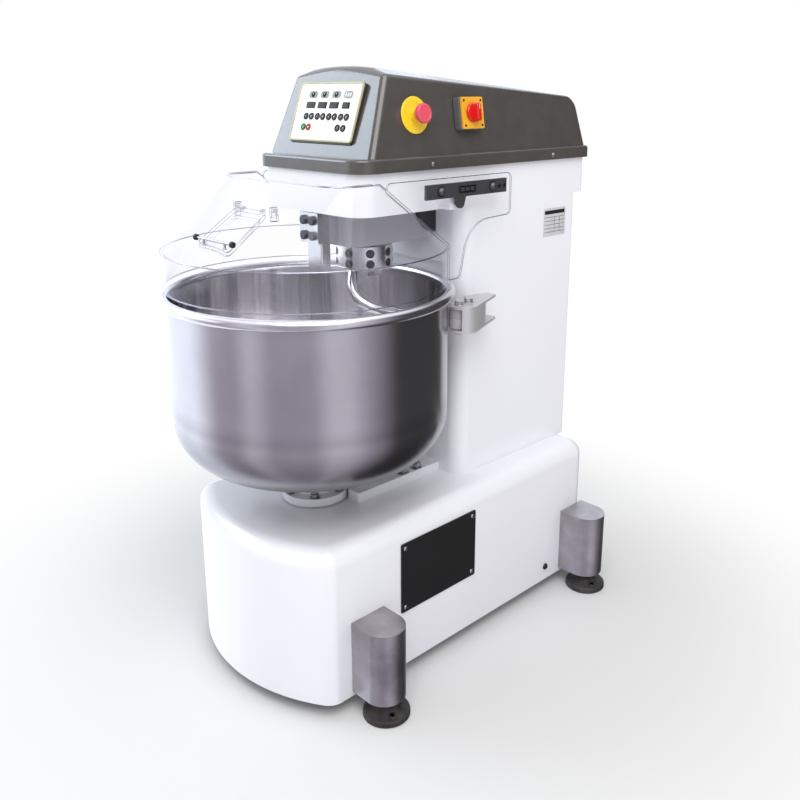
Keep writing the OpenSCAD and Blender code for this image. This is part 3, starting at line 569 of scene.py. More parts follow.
def finish_of(name):
    """A named finish, made once."""
    looks = bpy.context.scene.mixer_looks
    steel = tuple(looks.steel_colour)
    makers = {
        "casing": lambda: powder_coat("casing_coat", tuple(looks.casing_colour)),
        "cover": lambda: moulded("cover_shell", tuple(looks.cover_colour), 0.16, 0.6, 260.0, 0.00006),
        "bowl": lambda: bowl_steel("bowl_sheet", steel),
        "bowl_inside": lambda: bowl_inside("bowl_inside", (0.92, 0.90, 0.92)),
        "rim": lambda: brushed("rim_steel", (0.78, 0.77, 0.79), (3, 3, 500), 0.2, 0.4),
        "foot_cover": lambda: brushed(
            "foot_cover_steel", (0.5, 0.48, 0.5), (260, 260, 3), 0.36, 0.5, False, 0.32),
        "hook": lambda: brushed("hook_steel", (0.78, 0.78, 0.79), (60, 60, 60), 0.16, 0.2, False, 0.08),
        "bar": lambda: brushed("bar_steel", (0.7, 0.7, 0.71), (500, 500, 4), 0.2, 0.5, False, 0.1),
        "bracket": lambda: brushed(
            "bracket_steel", (0.66, 0.65, 0.67), (8, 8, 400), 0.4, 0.3, False, 0.1, 0.55),
        "guard_bar": lambda: brushed(
            "guard_bar_steel", (0.13, 0.13, 0.135), (300, 4, 300), 0.4, 0.3, False, 0.1, 0.7),
        "chrome": lambda: bright_metal("bright_zinc", (0.72, 0.72, 0.74)),
        "bolt": lambda: bright_metal("bolt_zinc", (0.38, 0.38, 0.4), 0.2),
        "dark_steel": lambda: bright_metal("black_oxide", (0.09, 0.09, 0.095), 0.3),
        "gearbox": lambda: powder_coat("gearbox_enamel", (0.42, 0.41, 0.45), 0.34, 0.25),
        "frame": lambda: powder_coat("frame_primer", (0.2, 0.21, 0.23), 0.5, 0.0),
        "motor": lambda: powder_coat("motor_enamel", (0.07, 0.1, 0.15), 0.42, 0.1),
        "iron": lambda: bright_metal("turned_iron", (0.22, 0.22, 0.24), 0.35),
        "rubber": lambda: rubber("moulded_rubber", (0.04, 0.036, 0.035)),
        "belt": lambda: rubber("belt_rubber", (0.02, 0.02, 0.02)),
        "panel_black": lambda: powder_coat("black_satin", (0.014, 0.013, 0.014), 0.4, 0.1),
        "roller": lambda: moulded("turned_nylon", (0.42, 0.41, 0.43), 0.36, 0.15),
        "knob": lambda: moulded("black_knob", (0.02, 0.02, 0.022), 0.32, 0.1),
        "clear": lambda: clear_sheet("guard_sheet", (0.85, 0.85, 0.95)),
        # Painted highlight: the beads along the clear sheets' edges.
        "painted_edge_glint": lambda: bright_metal("painted_edge_glint", (0.46, 0.45, 0.53), 0.16),
        "cream": lambda: moulded("panel_film", (0.88, 0.87, 0.79), 0.38, 0.1),
        "beige": lambda: moulded("panel_bezel", (0.46, 0.44, 0.26), 0.4, 0.1),
        "glass_dark": lambda: moulded("smoked_window", (0.012, 0.013, 0.012), 0.3, 0.0, 900.0, 0.0, 0.12),
        "segment": lambda: moulded("display_segment", (0.16, 0.17, 0.16), 0.45, 0.0, specular=0.15),
        "badge": lambda: moulded("badge_print", (0.36, 0.36, 0.36), 0.6, 0.0, specular=0.1),
        "ink": lambda: moulded("print_ink", (0.02, 0.02, 0.02), 0.6, 0.0, specular=0.1),
        "mark": lambda: moulded("white_mark", (0.7, 0.7, 0.7), 0.5, 0.0),
        "key": lambda: moulded("key_cap", tuple(looks.key_colour), 0.24, 0.0, specular=0.16),
        "green": lambda: moulded("green_cap", (0.003, 0.16, 0.03), 0.3, 0.0, specular=0.2),
        "red": lambda: moulded("red_cap", (0.32, 0.012, 0.015), 0.3, 0.0, specular=0.2),
        "yellow": lambda: moulded("yellow_disc", (0.9, 0.62, 0.025), 0.38, 0.15),
        "mushroom": lambda: moulded("mushroom_cap", (0.72, 0.085, 0.13), 0.26, 0.35),
        "switch_grey": lambda: moulded("switch_housing", (0.11, 0.11, 0.12), 0.42, 0.1),
        "switch_yellow": lambda: moulded("switch_plate", (0.85, 0.42, 0.02), 0.34, 0.2),
        "switch_red": lambda: moulded("switch_handle", (0.7, 0.012, 0.008), 0.24, 0.4),
        "label": lambda: moulded("label_foil", (0.6, 0.6, 0.62), 0.4, 0.2),
    }
    if name not in FINISHES:
        FINISHES[name] = makers[name]()
    return FINISHES[name]


# ---------- casings ----------


class MIXER_OT_casings(bpy.types.Operator):
    """Base, column, head and hub in gloss powder coat"""

    bl_idname = "mixer.casings"
    bl_label = "Casings"

    def execute(self, context):
        for node in ("base_shell", "column_shell", "head_housing", "bowl_shaft", "guard_pivot_blocks"):
            refined(node, finish_of("casing"), 34.0)
        return {"FINISHED"}


class MIXER_OT_rear_panel(bpy.types.Operator):
    """Rear access panel with pressed louvres"""

    bl_idname = "mixer.rear_panel"
    bl_label = "Rear panel"

    def execute(self, context):
        edge = context.scene.mixer_looks.edge_radius
        refined("rear_panel", finish_of("casing"), 34.0, edge)
        low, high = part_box("rear_panel")
        louvre = plate("louvre", 90 * MM, 12 * MM, 4 * MM, 5 * MM, 3 * MM)
        on_rear = frame_at(Vector((0, high.y, (low.z + high.z) / 2)), BACK, -ACROSS)
        first, pitch, count = 110, 22, 7
        spots = []
        for side in (-1, 1):
            spots += [on_rear @ shift(side * 58 * MM, (first + pitch * row) * MM, 0) for row in range(count)]
        vents = repeated("rear_louvres", louvre, spots)
        finished(vents, "machine", finish_of("casing"))
        return {"FINISHED"}


class MIXER_OT_top_cover(bpy.types.Operator):
    """Moulded gloss cover"""

    bl_idname = "mixer.top_cover"
    bl_label = "Top cover"

    def execute(self, context):
        refined("top_cover", finish_of("cover"), 38.0)
        return {"FINISHED"}


class MIXER_OT_side_panels(bpy.types.Operator):
    """Black access panels on both sides of the base"""

    bl_idname = "mixer.side_panels"
    bl_label = "Side panels"

    def execute(self, context):
        refined("side_panels", finish_of("panel_black"), 30.0, context.scene.mixer_looks.edge_radius)
        return {"FINISHED"}


class MIXER_OT_fasteners(bpy.types.Operator):
    """Screws and bolts of the casings, and the base's side plugs"""

    bl_idname = "mixer.fasteners"
    bl_label = "Casing fasteners"

    def execute(self, context):
        screws = self.panel_screws() + self.rear_screws()
        whole = repeated("casing_screws", slot_screw("pan_screw", 5.4 * MM), screws)
        finished(whole, "machine", finish_of("chrome"), ("casing_fasteners",))
        plinth_x, plinth_top = 92 * MM, 400 * MM
        bolts = [shift(side * plinth_x, y, plinth_top) for side in (-1, 1) for y in (-32.5 * MM, 10.5 * MM)]
        plinth = repeated("plinth_bolts", hex_head("plinth_bolt", 20 * MM, 10 * MM), bolts)
        finished(plinth, "machine", finish_of("bolt"), sharp=25.0)
        outline = in_mm([(0, 6), (4, 6), (4, 3.6), (6, 3.6), (8, 2.6), (8.5, 0), (0, 0)])
        plug = lathe("base_plug", outline, 32)
        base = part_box("side_panels")[1].x - 2.5 * MM
        plug_y, plug_z = 330.5 * MM, 70 * MM
        sides = [frame_at(Vector((side * base, plug_y, plug_z)), side * ACROSS, BACK) for side in (-1, 1)]
        plugs = repeated("base_plugs", plug, sides)
        finished(plugs, "machine", finish_of("dark_steel"))
        return {"FINISHED"}

    def panel_screws(self):
        """Places of the side panels' and the trim's screws, on both sides."""
        low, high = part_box("side_panels")
        inset = 12 * MM
        trim_x, trim_z = 176 * MM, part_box("casing_fasteners")[1].z - 5 * MM
        rows, levels = (low.y + inset, high.y - inset), (low.z + inset, high.z - inset)
        spots = [(high.x, y, z) for y in rows for z in levels]
        spots += [(trim_x, y, trim_z) for y in (-21.5 * MM, 382.5 * MM)]
        slot_way = Vector((0, 0.3, 1))
        return [frame_at(Vector((side * x, y, z)), side * ACROSS, slot_way)
                for side in (-1, 1) for x, y, z in spots]

    def rear_screws(self):
        """Places of the rear panel's screws."""
        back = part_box("rear_panel")[1].y
        slot_way = Vector((1, 0, 0.4))
        return [frame_at(Vector((x, back, z)), BACK, slot_way)
                for x in (-135 * MM, 135 * MM) for z in (425 * MM, 705 * MM, 985 * MM)]


class MIXER_OT_rating_plate(bpy.types.Operator):
    """Foil plate with plain ruled lines on the column's right side"""

    bl_idname = "mixer.rating_plate"
    bl_label = "Rating plate"

    def execute(self, context):
        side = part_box("column_shell")[1].x
        spot = frame_at(Vector((side, 410 * MM, 949 * MM)), ACROSS, BACK)
        thick = 0.6 * MM
        foil = place(plate("rating_plate", 86 * MM, 68 * MM, thick, 2 * MM, 0.2 * MM), spot)
        finished(foil, "machine", finish_of("label"))
        line, length = 0.9, 78
        rules = [(0, 24, length, 9)] + [(0, 12 - 9 * row, length, line) for row in range(5)]
        rules += [(u, -6, line, 36) for u in (0, 20)]
        bars = []
        for index, (u, v, wide, tall) in enumerate(rules):
            bar = plate(f"rule_{index}", wide * MM, tall * MM, 0.25 * MM, edge=0.08 * MM)
            bars.append(place(bar, spot @ shift(u * MM, v * MM, thick)))
        finished(joined("rating_rules", bars), "machine", finish_of("ink"))
        return {"FINISHED"}


class MIXER_OT_gland(bpy.types.Operator):
    """Nylon cable gland on the back"""

    bl_idname = "mixer.gland"
    bl_label = "Cable gland"

    def execute(self, context):
        refined("cable_gland", finish_of("knob"), 30.0, 0.6 * MM)
        return {"FINISHED"}


# ---------- bowl ----------


class MIXER_OT_bowl(bpy.types.Operator):
    """Spun steel bowl with a rolled rim"""

    bl_idname = "mixer.bowl"
    bl_label = "Bowl"

    def execute(self, context):
        low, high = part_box("bowl")
        rim_r, tube = 300 * MM, 11 * MM
        rim_z = high.z - tube
        wall, sheet, corner = 296 * MM, 3 * MM, 105 * MM
        corner_z, floor_r = 589 * MM, 80 * MM
        centre = (wall - corner, corner_z)
        outside = [(0, low.z), (floor_r, low.z)] + arc(centre, corner, -78, 0, 18)
        outside += [(wall, rim_z - 60 * MM)]
        rolled = arc((rim_r, rim_z), tube, -111.3, 231, 30)
        inside = [(wall - sheet, rim_z - 60 * MM)] + arc(centre, corner - sheet, 0, -78, 18)
        inside += [(floor_r, low.z + sheet), (0, low.z + sheet)]
        bowl = lathe("bowl_finished", outside + rolled + inside, context.scene.mixer_looks.bowl_steps)
        place(bowl, shift(BOWL_AXIS.x, BOWL_AXIS.y, 0))
        finished(bowl, "bowl", finish_of("bowl"), ("bowl",), 40.0)
        bowl.data.materials.append(finish_of("rim"))
        bowl.data.materials.append(finish_of("bowl_inside"))
        on_rim, inner = 1, 2
        for face in bowl.data.polygons:
            outward = Vector((face.center.x, face.center.y - BOWL_AXIS.y, 0))
            height = face.center.z - rim_z
            if height > -tube * 0.7 or (height > -tube * 1.05 and outward.length > rim_r):
                face.material_index = on_rim
            elif face.normal.dot(outward) < 0 or (face.normal.z > 0.2 and outward.length < wall - sheet / 2):
                face.material_index = inner
        return {"FINISHED"}


class MIXER_OT_hub(bpy.types.Operator):
    """Hexagon bolts round the bowl's hub"""

    bl_idname = "mixer.hub"
    bl_label = "Hub bolts"

    def execute(self, context):
        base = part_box("hub_bolts")[0].z
        circle, count, first = 62 * MM, 6, math.radians(22)
        spots = []
        for index in range(count):
            turn = first + index * 2 * math.pi / count
            spot = shift(circle * math.cos(turn), BOWL_AXIS.y + circle * math.sin(turn), base)
            spots.append(spot @ Matrix.Rotation(turn * 1.7, 4, "Z"))
        bolts = repeated("hub_bolts_finished", hex_head("hub_bolt", 16 * MM, 8 * MM), spots)
        finished(bolts, "bowl", finish_of("bolt"), ("hub_bolts",), 25.0)
        return {"FINISHED"}


# ---------- spiral and breaker bar ----------


class MIXER_OT_spiral(bpy.types.Operator):
    """Round-bar spiral on its screwed flange"""

    bl_idname = "mixer.spiral"
    bl_label = "Spiral"

    def execute(self, context):
        refined("spiral_hook", finish_of("hook"), 50.0)
        refined("hook_flange", finish_of("rim"), 30.0)
        refined("flange_screws", finish_of("dark_steel"), 30.0)
        refined("spiral_shaft", finish_of("bar"), 30.0)
        low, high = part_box("hook_flange")
        radius = (high.x - low.x) / 2
        section = in_mm([(-4, 0), (0.6, 0), (1.6, 1.2), (1.6, 4), (0.6, 5), (-4, 5), (-4, 0)])
        lip = [(radius + out, height) for out, height in section]
        ring = place(lathe("flange_lip", lip, 72), shift(SPIRAL_AXIS.x, SPIRAL_AXIS.y, low.z))
        finished(ring, "spiral", finish_of("rim"))
        section = in_mm([(7.6, -0.4), (9.4, -0.4), (9.6, 0.7), (8.0, 0.9), (7.6, -0.4)])
        seat = lathe("screw_seat", section, 28)
        count, first = 8, 16
        spots = []
        for column in range(count):
            turn = math.radians(column * 360 / count + first)
            outward = Vector((math.cos(turn), math.sin(turn), 0))
            for z in (894 * MM, 917 * MM):
                point = Vector((SPIRAL_AXIS.x, SPIRAL_AXIS.y, z)) + outward * (radius - 0.5 * MM)
                spots.append(frame_at(point, outward, UP))
        finished(repeated("screw_seats", seat, spots), "spiral", finish_of("dark_steel"))
        return {"FINISHED"}


class MIXER_OT_breaker(bpy.types.Operator):
    """Breaker bar, its clamp and the clamp's dark caps"""

    bl_idname = "mixer.breaker"
    bl_label = "Breaker bar"

    def execute(self, context):
        edge = context.scene.mixer_looks.edge_radius
        refined("breaker_bar", finish_of("bar"), 30.0)
        refined("breaker_clamp", finish_of("bar"), 30.0, edge * 2)
        refined("clamp_screws", finish_of("dark_steel"), 30.0)
        refined("arm_gearbox", finish_of("gearbox"), 34.0, edge * 2)
        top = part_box("arm_gearbox")[1].z
        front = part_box("column_shell")[0].y
        # Quarter webs on the gearbox's sides at the column; their black colour is painted shadow for that corner.
        shadow_web = lathe("quarter_shadow_web", in_mm([(0, 0), (62, 0), (62, 4), (0, 4)]), 64)
        only(shadow_web)
        bpy.ops.object.mode_set(mode="EDIT")
        for way in ((1, 0, 0), (0, 1, 0)):
            bpy.ops.mesh.select_all(action="SELECT")
            bpy.ops.mesh.bisect(plane_co=(0, 0, 0), plane_no=way, clear_outer=True, use_fill=True)
        closed()
        shadow_web_x, half = 84 * MM, 2 * MM
        spots = []
        for side in (-1, 1):
            corner = Vector((side * shadow_web_x - half, front - 0.5 * MM, top - 1 * MM))
            spots.append(frame_at(corner, ACROSS, BACK))
        finished(repeated("gearbox_shadow_webs", shadow_web, spots), "machine", finish_of("dark_steel"))
        return {"FINISHED"}


# ---------- guard ----------


class MIXER_OT_guard(bpy.types.Operator):
    """Clear guard with its side bars and domed nuts"""

    bl_idname = "mixer.guard"
    bl_label = "Guard"
    bar_face = 214 * MM
    bar_height = 1059 * MM

    def execute(self, context):
        refined("guard_shell", finish_of("clear"), 24.0)
        refined("guard_bars", finish_of("guard_bar"), 30.0, context.scene.mixer_looks.edge_radius)
        # Painted highlights: glossy beads along the guard's sharp edges.
        edge_lines("guard_shell", "guard_edges", "guard")
        middle_y, pitch = 41.5, 15
        domes, recesses, marks, screws = [], [], [], []
        for side in (-1, 1):
            domes += [self.on_bar(side, y) for y in (-37.5 * MM, 120.5 * MM)]
            recesses.append(self.on_bar(side, middle_y * MM))
            for step in (-pitch, 0, pitch):
                marks.append(self.on_bar(side, (middle_y + step) * MM) @ shift(0, 0, 0.5 * MM))
            screws += [self.on_bar(side, y) for y in (141.5 * MM, 158.5 * MM)]
        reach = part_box("guard_bars")[1].x - self.bar_face
        crown = [(radius, min(height, reach)) for radius, height in arc((0, 1.8 * MM), 7.2 * MM, 8, 90, 8)]
        dome = lathe("dome_nut", in_mm([(0, 0), (11, 0), (11, 1.4), (9, 1.8)]) + crown, 36)
        finished(repeated("guard_domes", dome, domes), "guard", finish_of("dark_steel"))
        # Painted shade: flat dark plates stand for the recesses in the side bars.
        dent = plate("recess", 52 * MM, 15 * MM, 0.6 * MM, 2 * MM, 0.3 * MM)
        recess = repeated("guard_recess_shadows", dent, recesses)
        finished(recess, "guard", finish_of("dark_steel"))
        block = plate("recess_bar", 11 * MM, 8 * MM, 0.7 * MM, 1 * MM, 0.3 * MM)
        bars = repeated("guard_recess_bars", block, marks)
        finished(bars, "guard", finish_of("guard_bar"))
        heads = repeated("guard_bar_screws", slot_screw("bar_screw", 4.6 * MM), screws)
        finished(heads, "guard", finish_of("dark_steel"))
        return {"FINISHED"}

    def on_bar(self, side, y):
        """A place on a side bar's outer face."""
        return frame_at(Vector((side * self.bar_face, y, self.bar_height)), side * ACROSS, BACK)


class MIXER_OT_hatch(bpy.types.Operator):
    """Clear filling hatch with its rod handle"""

    bl_idname = "mixer.hatch"
    bl_label = "Hatch"

    def execute(self, context):
        refined("hatch_flap", finish_of("clear"), 24.0)
        # Painted highlights: glossy beads along the hatch's sharp edges.
        edge_lines("hatch_flap", "hatch_edges", "hatch")
        low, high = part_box("hatch_handle")
        rod_z = high.z - 6 * MM
        rod_y = (low.y + high.y) / 2
        across = frame_at(Vector((low.x, rod_y, rod_z)), ACROSS, BACK)
        length = high.x - low.x
        rod_r, sunk, knob_long = 2.6 * MM, 3 * MM, 9 * MM
        rod = [(0, sunk), (rod_r, sunk), (rod_r, length - sunk), (0, length - sunk)]
        piece = place(lathe("hatch_rod", rod, 24), across)
        finished(piece, "hatch", finish_of("bolt"), ("hatch_handle",))
        outline = in_mm([(0, 0), (4.4, 0.3), (6, 2), (6, 6.6), (5, 8.4), (3, 9), (0, 9)])
        knob = lathe("rod_knob", outline, 32)
        ends = [across, across @ shift(0, 0, length - knob_long)]
        finished(repeated("rod_knobs", knob, ends), "hatch", finish_of("knob"))
        tall = rod_z - low.z
        foot = in_mm([(0, 0), (4.6, 0), (4.6, 1.5), (2.8, 2.4)])
        post = lathe("rod_post", foot + [(2.4 * MM, tall), (0, tall)], 24)
        centre = (low.x + high.x) / 2
        posts = [shift(centre + side * 36 * MM, rod_y, low.z) for side in (-1, 1)]
        finished(repeated("rod_posts", post, posts), "hatch", finish_of("chrome"))
        return {"FINISHED"}


# ---------- guide roller ----------


class MIXER_OT_roller(bpy.types.Operator):
    """Guide roller in its sheet bracket"""

    bl_idname = "mixer.roller"
    bl_label = "Guide roller"

    def execute(self, context):
        refined("roller_bracket", finish_of("bracket"), 30.0)
        low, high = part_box("guide_roller")
        centre = (low + high) / 2
        radius, tall = (high.x - low.x) / 2, high.z - low.z
        bore, chamfer, groove = 6.1 * MM, 2 * MM, 1 * MM
        profile = [(bore, 0), (radius - chamfer, 0), (radius, chamfer), (radius, tall * 0.42),
                   (radius - groove, tall * 0.46), (radius - groove, tall * 0.54), (radius, tall * 0.58),
                   (radius, tall - chamfer), (radius - chamfer, tall), (bore, tall), (bore, 0)]
        roller = place(lathe("roller_finished", profile, 56), shift(centre.x, centre.y, low.z))
        finished(roller, "roller", finish_of("roller"), ("guide_roller",))
        bottom, top = (corner.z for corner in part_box("roller_bracket"))
        spots = [shift(centre.x, centre.y, top), shift(centre.x - 4 * MM, centre.y + 34 * MM, top),
                 shift(centre.x, centre.y, bottom) @ Matrix.Rotation(math.pi, 4, "X")]
        nuts = repeated("roller_nuts", hex_head("roller_nut", 17 * MM, 6.5 * MM), spots)
        finished(nuts, "machine", finish_of("chrome"), ("roller_bolts",), 25.0)
        pin_r = 5.9 * MM
        pin = lathe("roller_pin", [(0, 0), (pin_r, 0), (pin_r, top - bottom), (0, top - bottom)], 24)
        place(pin, shift(centre.x, centre.y, bottom))
        finished(pin, "machine", finish_of("chrome"))
        return {"FINISHED"}


# ---------- feet ----------


class MIXER_OT_feet(bpy.types.Operator):
    """Steel foot covers and rubber levelling pads"""

    bl_idname = "mixer.feet"
    bl_label = "Feet"

    def execute(self, context):
        refined("foot_columns", finish_of("foot_cover"), 30.0, context.scene.mixer_looks.edge_radius)
        pad = in_mm([(0, 0), (48, 0), (50, 2), (50, 9)]) + arc((45 * MM, 9 * MM), 5 * MM, 10, 78, 5)
        pad += in_mm([(40, 15.2), (30, 18.5), (25, 23), (23, 28), (21, 30), (0, 30)])
        stud = in_mm([(0, 29), (7.9, 29), (7.9, 128), (0, 129)])
        eyelet = in_mm([(0, 0.2), (3.4, 0.2), (3.6, 1.1), (5.6, 1.1), (5.8, 0), (0, 0)])
        lug_out, lug_y = 33 * MM, -14 * MM
        for end in ("front_left", "front_right", "rear_left", "rear_right"):
            node = "foot_" + end
            centre = middle(node)
            spot = shift(centre.x, centre.y, 0)
            side = 1 if centre.x > 0 else -1
            body = BODY_OF[node]
            sole = place(lathe(node + "_pad", pad, 64), spot)
            lug = plate(node + "_lug", 20 * MM, 17 * MM, 8 * MM, 7 * MM, 2.5 * MM)
            askew = Matrix.Rotation(side * -0.4, 4, "Z")
            place(lug, spot @ shift(side * lug_out, lug_y, 12.5 * MM) @ askew)
            hole = lathe(node + "_hole", eyelet, 24)
            place(hole, spot @ shift(side * lug_out, lug_y, 20.3 * MM))
            finished(joined(node + "_sole", [sole, lug]), body, finish_of("rubber"), (node,))
            finished(hole, body, finish_of("dark_steel"))
            screw = place(lathe(node + "_stud", stud, 32), spot)
            finished(screw, body, finish_of("chrome"))
            nut = hex_head(node + "_nut", 24 * MM, 7 * MM)
            place(nut, spot @ shift(0, 0, 29.5 * MM))
            finished(nut, body, finish_of("dark_steel"), sharp=25.0)
        return {"FINISHED"}


# ---------- controls ----------


class MIXER_OT_control_panel(bpy.types.Operator):
    """Panel film, bezel, badges and displays"""

    bl_idname = "mixer.control_panel"
    bl_label = "Control panel"

    def execute(self, context):
        refined("control_panel", finish_of("cream"), 30.0)
        rim = plate("panel_bezel", 205 * MM, 125 * MM, 3.2 * MM, 8 * MM, 1.2 * MM)
        only(rim)
        bpy.ops.object.mode_set(mode="EDIT")
        pick(rim, lambda f: f.normal.z > 0.95 and f.calc_area() > 0.005, "FACE")
        bpy.ops.mesh.inset(thickness=2.6 * MM)
        bpy.ops.mesh.delete(type="FACE")
        pick(rim, lambda f: f.normal.z < -0.95 and f.calc_area() > 0.005, "FACE")
        bpy.ops.mesh.inset(thickness=4 * MM)
        bpy.ops.mesh.delete(type="FACE")
        pick(rim, lambda e: e.is_boundary)
        bpy.ops.mesh.bridge_edge_loops()
        bpy.ops.mesh.select_all(action="SELECT")
        bpy.ops.mesh.normals_make_consistent(inside=False)
        closed()
        place(rim, ON_PANEL @ shift(0, 0, -2.2 * MM))
        finished(rim, "machine", finish_of("beige"))
        gasket = plate("panel_gasket", 207 * MM, 128 * MM, 3 * MM, 9 * MM, 1 * MM)
        place(gasket, ON_PANEL @ shift(0, -1.5 * MM, -6.5 * MM))
        finished(gasket, "machine", finish_of("panel_black"))
        columns = [-52, -14, 24, 62]
        last = len(columns) - 1
        badge_v, window_v, badge_thick = 36, 14, 0.25 * MM
        pane_thick, digit_step = 0.9 * MM, 5.6
        badges, dials, windows, digits = [], [], [], []
        for index, u in enumerate(columns):
            badges.append(ON_PANEL @ shift(u * MM, badge_v * MM, 0))
            if index < last:
                dials.append(ON_PANEL @ shift(u * MM, badge_v * MM, badge_thick))
            wide, count = (22, 3) if index == last else (28, 4)
            middle_u = u - 1
            pane = plate(f"pane_{index}", wide * MM, 13 * MM, pane_thick, 1 * MM, 0.4 * MM)
            windows.append(place(pane, ON_PANEL @ shift(middle_u * MM, window_v * MM, 0)))
            for number in range(count):
                across = (middle_u + (number - (count - 1) / 2) * digit_step) * MM
                digits += self.digit(ON_PANEL @ shift(across, window_v * MM, pane_thick))
        badge = repeated("panel_badges", plate("badge", 27 * MM, 15 * MM, badge_thick, 6 * MM), badges)
        finished(badge, "machine", finish_of("badge"))
        dial = lathe("dial", in_mm([(0, 0.5), (5.4, 0.5), (5.8, 0), (0, 0)]), 32)
        finished(repeated("badge_dials", dial, dials), "machine", finish_of("ink"))
        pointers = [spot @ shift(0, 1.8 * MM, 0.5 * MM) for spot in dials]
        hand = repeated("badge_hands", plate("hand", 1 * MM, 5 * MM, 0.3 * MM), pointers)
        finished(hand, "machine", finish_of("mark"))
        lines = [ON_PANEL @ shift((columns[last] + step) * MM, badge_v * MM, badge_thick)
                 for step in (-7, 0, 7)]
        bars = repeated("badge_bars", plate("badge_bar", 4 * MM, 8 * MM, 0.3 * MM, 0.5 * MM), lines)
        finished(bars, "machine", finish_of("mark"))
        panes = joined("display_panes", windows)
        finished(panes, "machine", finish_of("glass_dark"), ("display_board",))
        segments = repeated("display_segments", plate("segment", 2.6 * MM, 0.55 * MM, 0.15 * MM), digits)
        finished(segments, "machine", finish_of("segment"))
        return {"FINISHED"}

    def digit(self, spot):
        """Places of a nought's six segments."""
        quarter = Matrix.Rotation(math.pi / 2, 4, "Z")
        flat = [spot @ shift(0, v * MM, 0) for v in (-3.4, 3.4)]
        upright = [spot @ shift(u * MM, v * MM, 0) @ quarter for u in (-1.6, 1.6) for v in (-1.7, 1.7)]
        return flat + upright


class MIXER_OT_keys(bpy.types.Operator):
    """Round keys with plain marks"""

    bl_idname = "mixer.keys"
    bl_label = "Keys"

    def execute(self, context):
        cap = in_mm([(0, -8), (7.3, -8), (7.3, 0.4), (7.0, 1.1), (6.2, 1.5), (5.2, 1.25), (3, 0.95),
                     (0, 0.85)])
        pattern = lathe("key_cap", cap, 40)
        keys = [(f"timer_key_{number}", "key") for number in range(1, 9)]
        keys += [("mode_key_1", "key"), ("mode_key_2", "key")]
        keys += [("start_button", "green"), ("stop_button", "red")]
        for node, colour in keys:
            spot = self.on_key(node)
            body = BODY_OF[node]
            finished(twin(pattern, node + "_cap", spot), body, finish_of(colour), (node,))
            bars = []
            for index, (wide, tall, turned) in enumerate(self.mark(node)):
                bar = plate(f"{node}_bar_{index}", wide * MM, tall * MM, 0.3 * MM)
                place(bar, spot @ shift(0, 0, 0.9 * MM) @ Matrix.Rotation(math.radians(turned), 4, "Z"))
                bars.append(bar)
            finished(joined(node + "_mark", bars), body, finish_of("mark"))
        discard(pattern)
        return {"FINISHED"}

    def on_key(self, node):
        """The panel's plane at a key's centre."""
        local = ON_PANEL.inverted() @ middle(node)
        return ON_PANEL @ shift(local.x, local.y, 0)

    def mark(self, node):
        """Bars of a plus, a minus, or a plain stroke, as (width, height, turn)."""
        if node == "stop_button":
            return [(3.2, 3.2, 0)]
        if node == "start_button":
            return [(0.9, 4.6, 0)]
        if node.startswith("timer") and int(node[-1]) % 2 == 0:
            return [(4.2, 0.8, 0), (0.8, 4.2, 0)]
        return [(4.2, 0.8, 0)] if node.startswith("timer") else [(4.2, 0.8, 45)]


class MIXER_OT_emergency_stop(bpy.types.Operator):
    """Emergency stop: yellow disc, collar and mushroom"""

    bl_idname = "mixer.emergency_stop"
    bl_label = "Emergency stop"

    def execute(self, context):
        disc = in_mm([(9, 0.3), (37, 0.3), (37.2, 1.6), (36, 2.7), (24, 2.7), (23.4, 2.3), (22.8, 2.7),
                      (15.4, 2.7), (15, 11), (14, 12), (9, 12), (9, 0.3)])
        collar = place(lathe("stop_disc", disc, 72), ON_STOP)
        finished(collar, "machine", finish_of("yellow"), ("estop_collar",))
        cap = in_mm([(0, -11), (7.9, -11), (7.9, 17), (13, 18), (17.4, 20.4), (19.6, 23), (20, 26), (20, 29),
                     (19.2, 31.4), (17, 32.8), (14.4, 32.9), (13.4, 32.2), (0, 31.8)])
        mushroom = place(lathe("stop_cap", cap, 64), ON_STOP)
        finished(mushroom, "emergency_stop", finish_of("mushroom"), ("estop_button",))
        return {"FINISHED"}


class MIXER_OT_main_switch(bpy.types.Operator):
    """Main switch: housing, plate and red rotary handle"""

    bl_idname = "mixer.main_switch"
    bl_label = "Main switch"

    def execute(self, context):
        edge = context.scene.mixer_looks.edge_radius
        refined("switch_box", finish_of("switch_grey"), 30.0, edge * 1.5)
        refined("switch_plate", finish_of("switch_yellow"), 30.0, edge)
        plate_middle, reach, plate_top = 2, 26, 20.2 * MM
        corners = [ON_SWITCH @ shift((plate_middle + u * reach) * MM, v * reach * MM, plate_top)
                   for u in (-1, 1) for v in (-1, 1)]
        screws = repeated("switch_screws", slot_screw("plate_screw", 2.6 * MM), corners)
        finished(screws, "machine", finish_of("dark_steel"))
        base = in_mm([(0, -5), (6.9, -5), (6.9, 20.8), (18.4, 20.8), (20, 22.2), (20, 25.6), (18.6, 27.4),
                      (0, 27.8)])
        knob = place(lathe("switch_knob_base", base, 56), ON_SWITCH)
        grip = plate("switch_grip", 13 * MM, 38 * MM, 14 * MM, 5 * MM, 3 * MM)
        place(grip, ON_SWITCH @ shift(0, 0, 27.5 * MM))
        handle = joined("switch_handle", [knob, grip])
        finished(handle, "main_switch", finish_of("switch_red"), ("switch_knob",))
        pointer = plate("switch_pointer", 1.6 * MM, 10 * MM, 0.3 * MM)
        place(pointer, ON_SWITCH @ shift(0, 11 * MM, 41.5 * MM))
        finished(pointer, "main_switch", finish_of("mark"))
        return {"FINISHED"}


# ---------- drive ----------


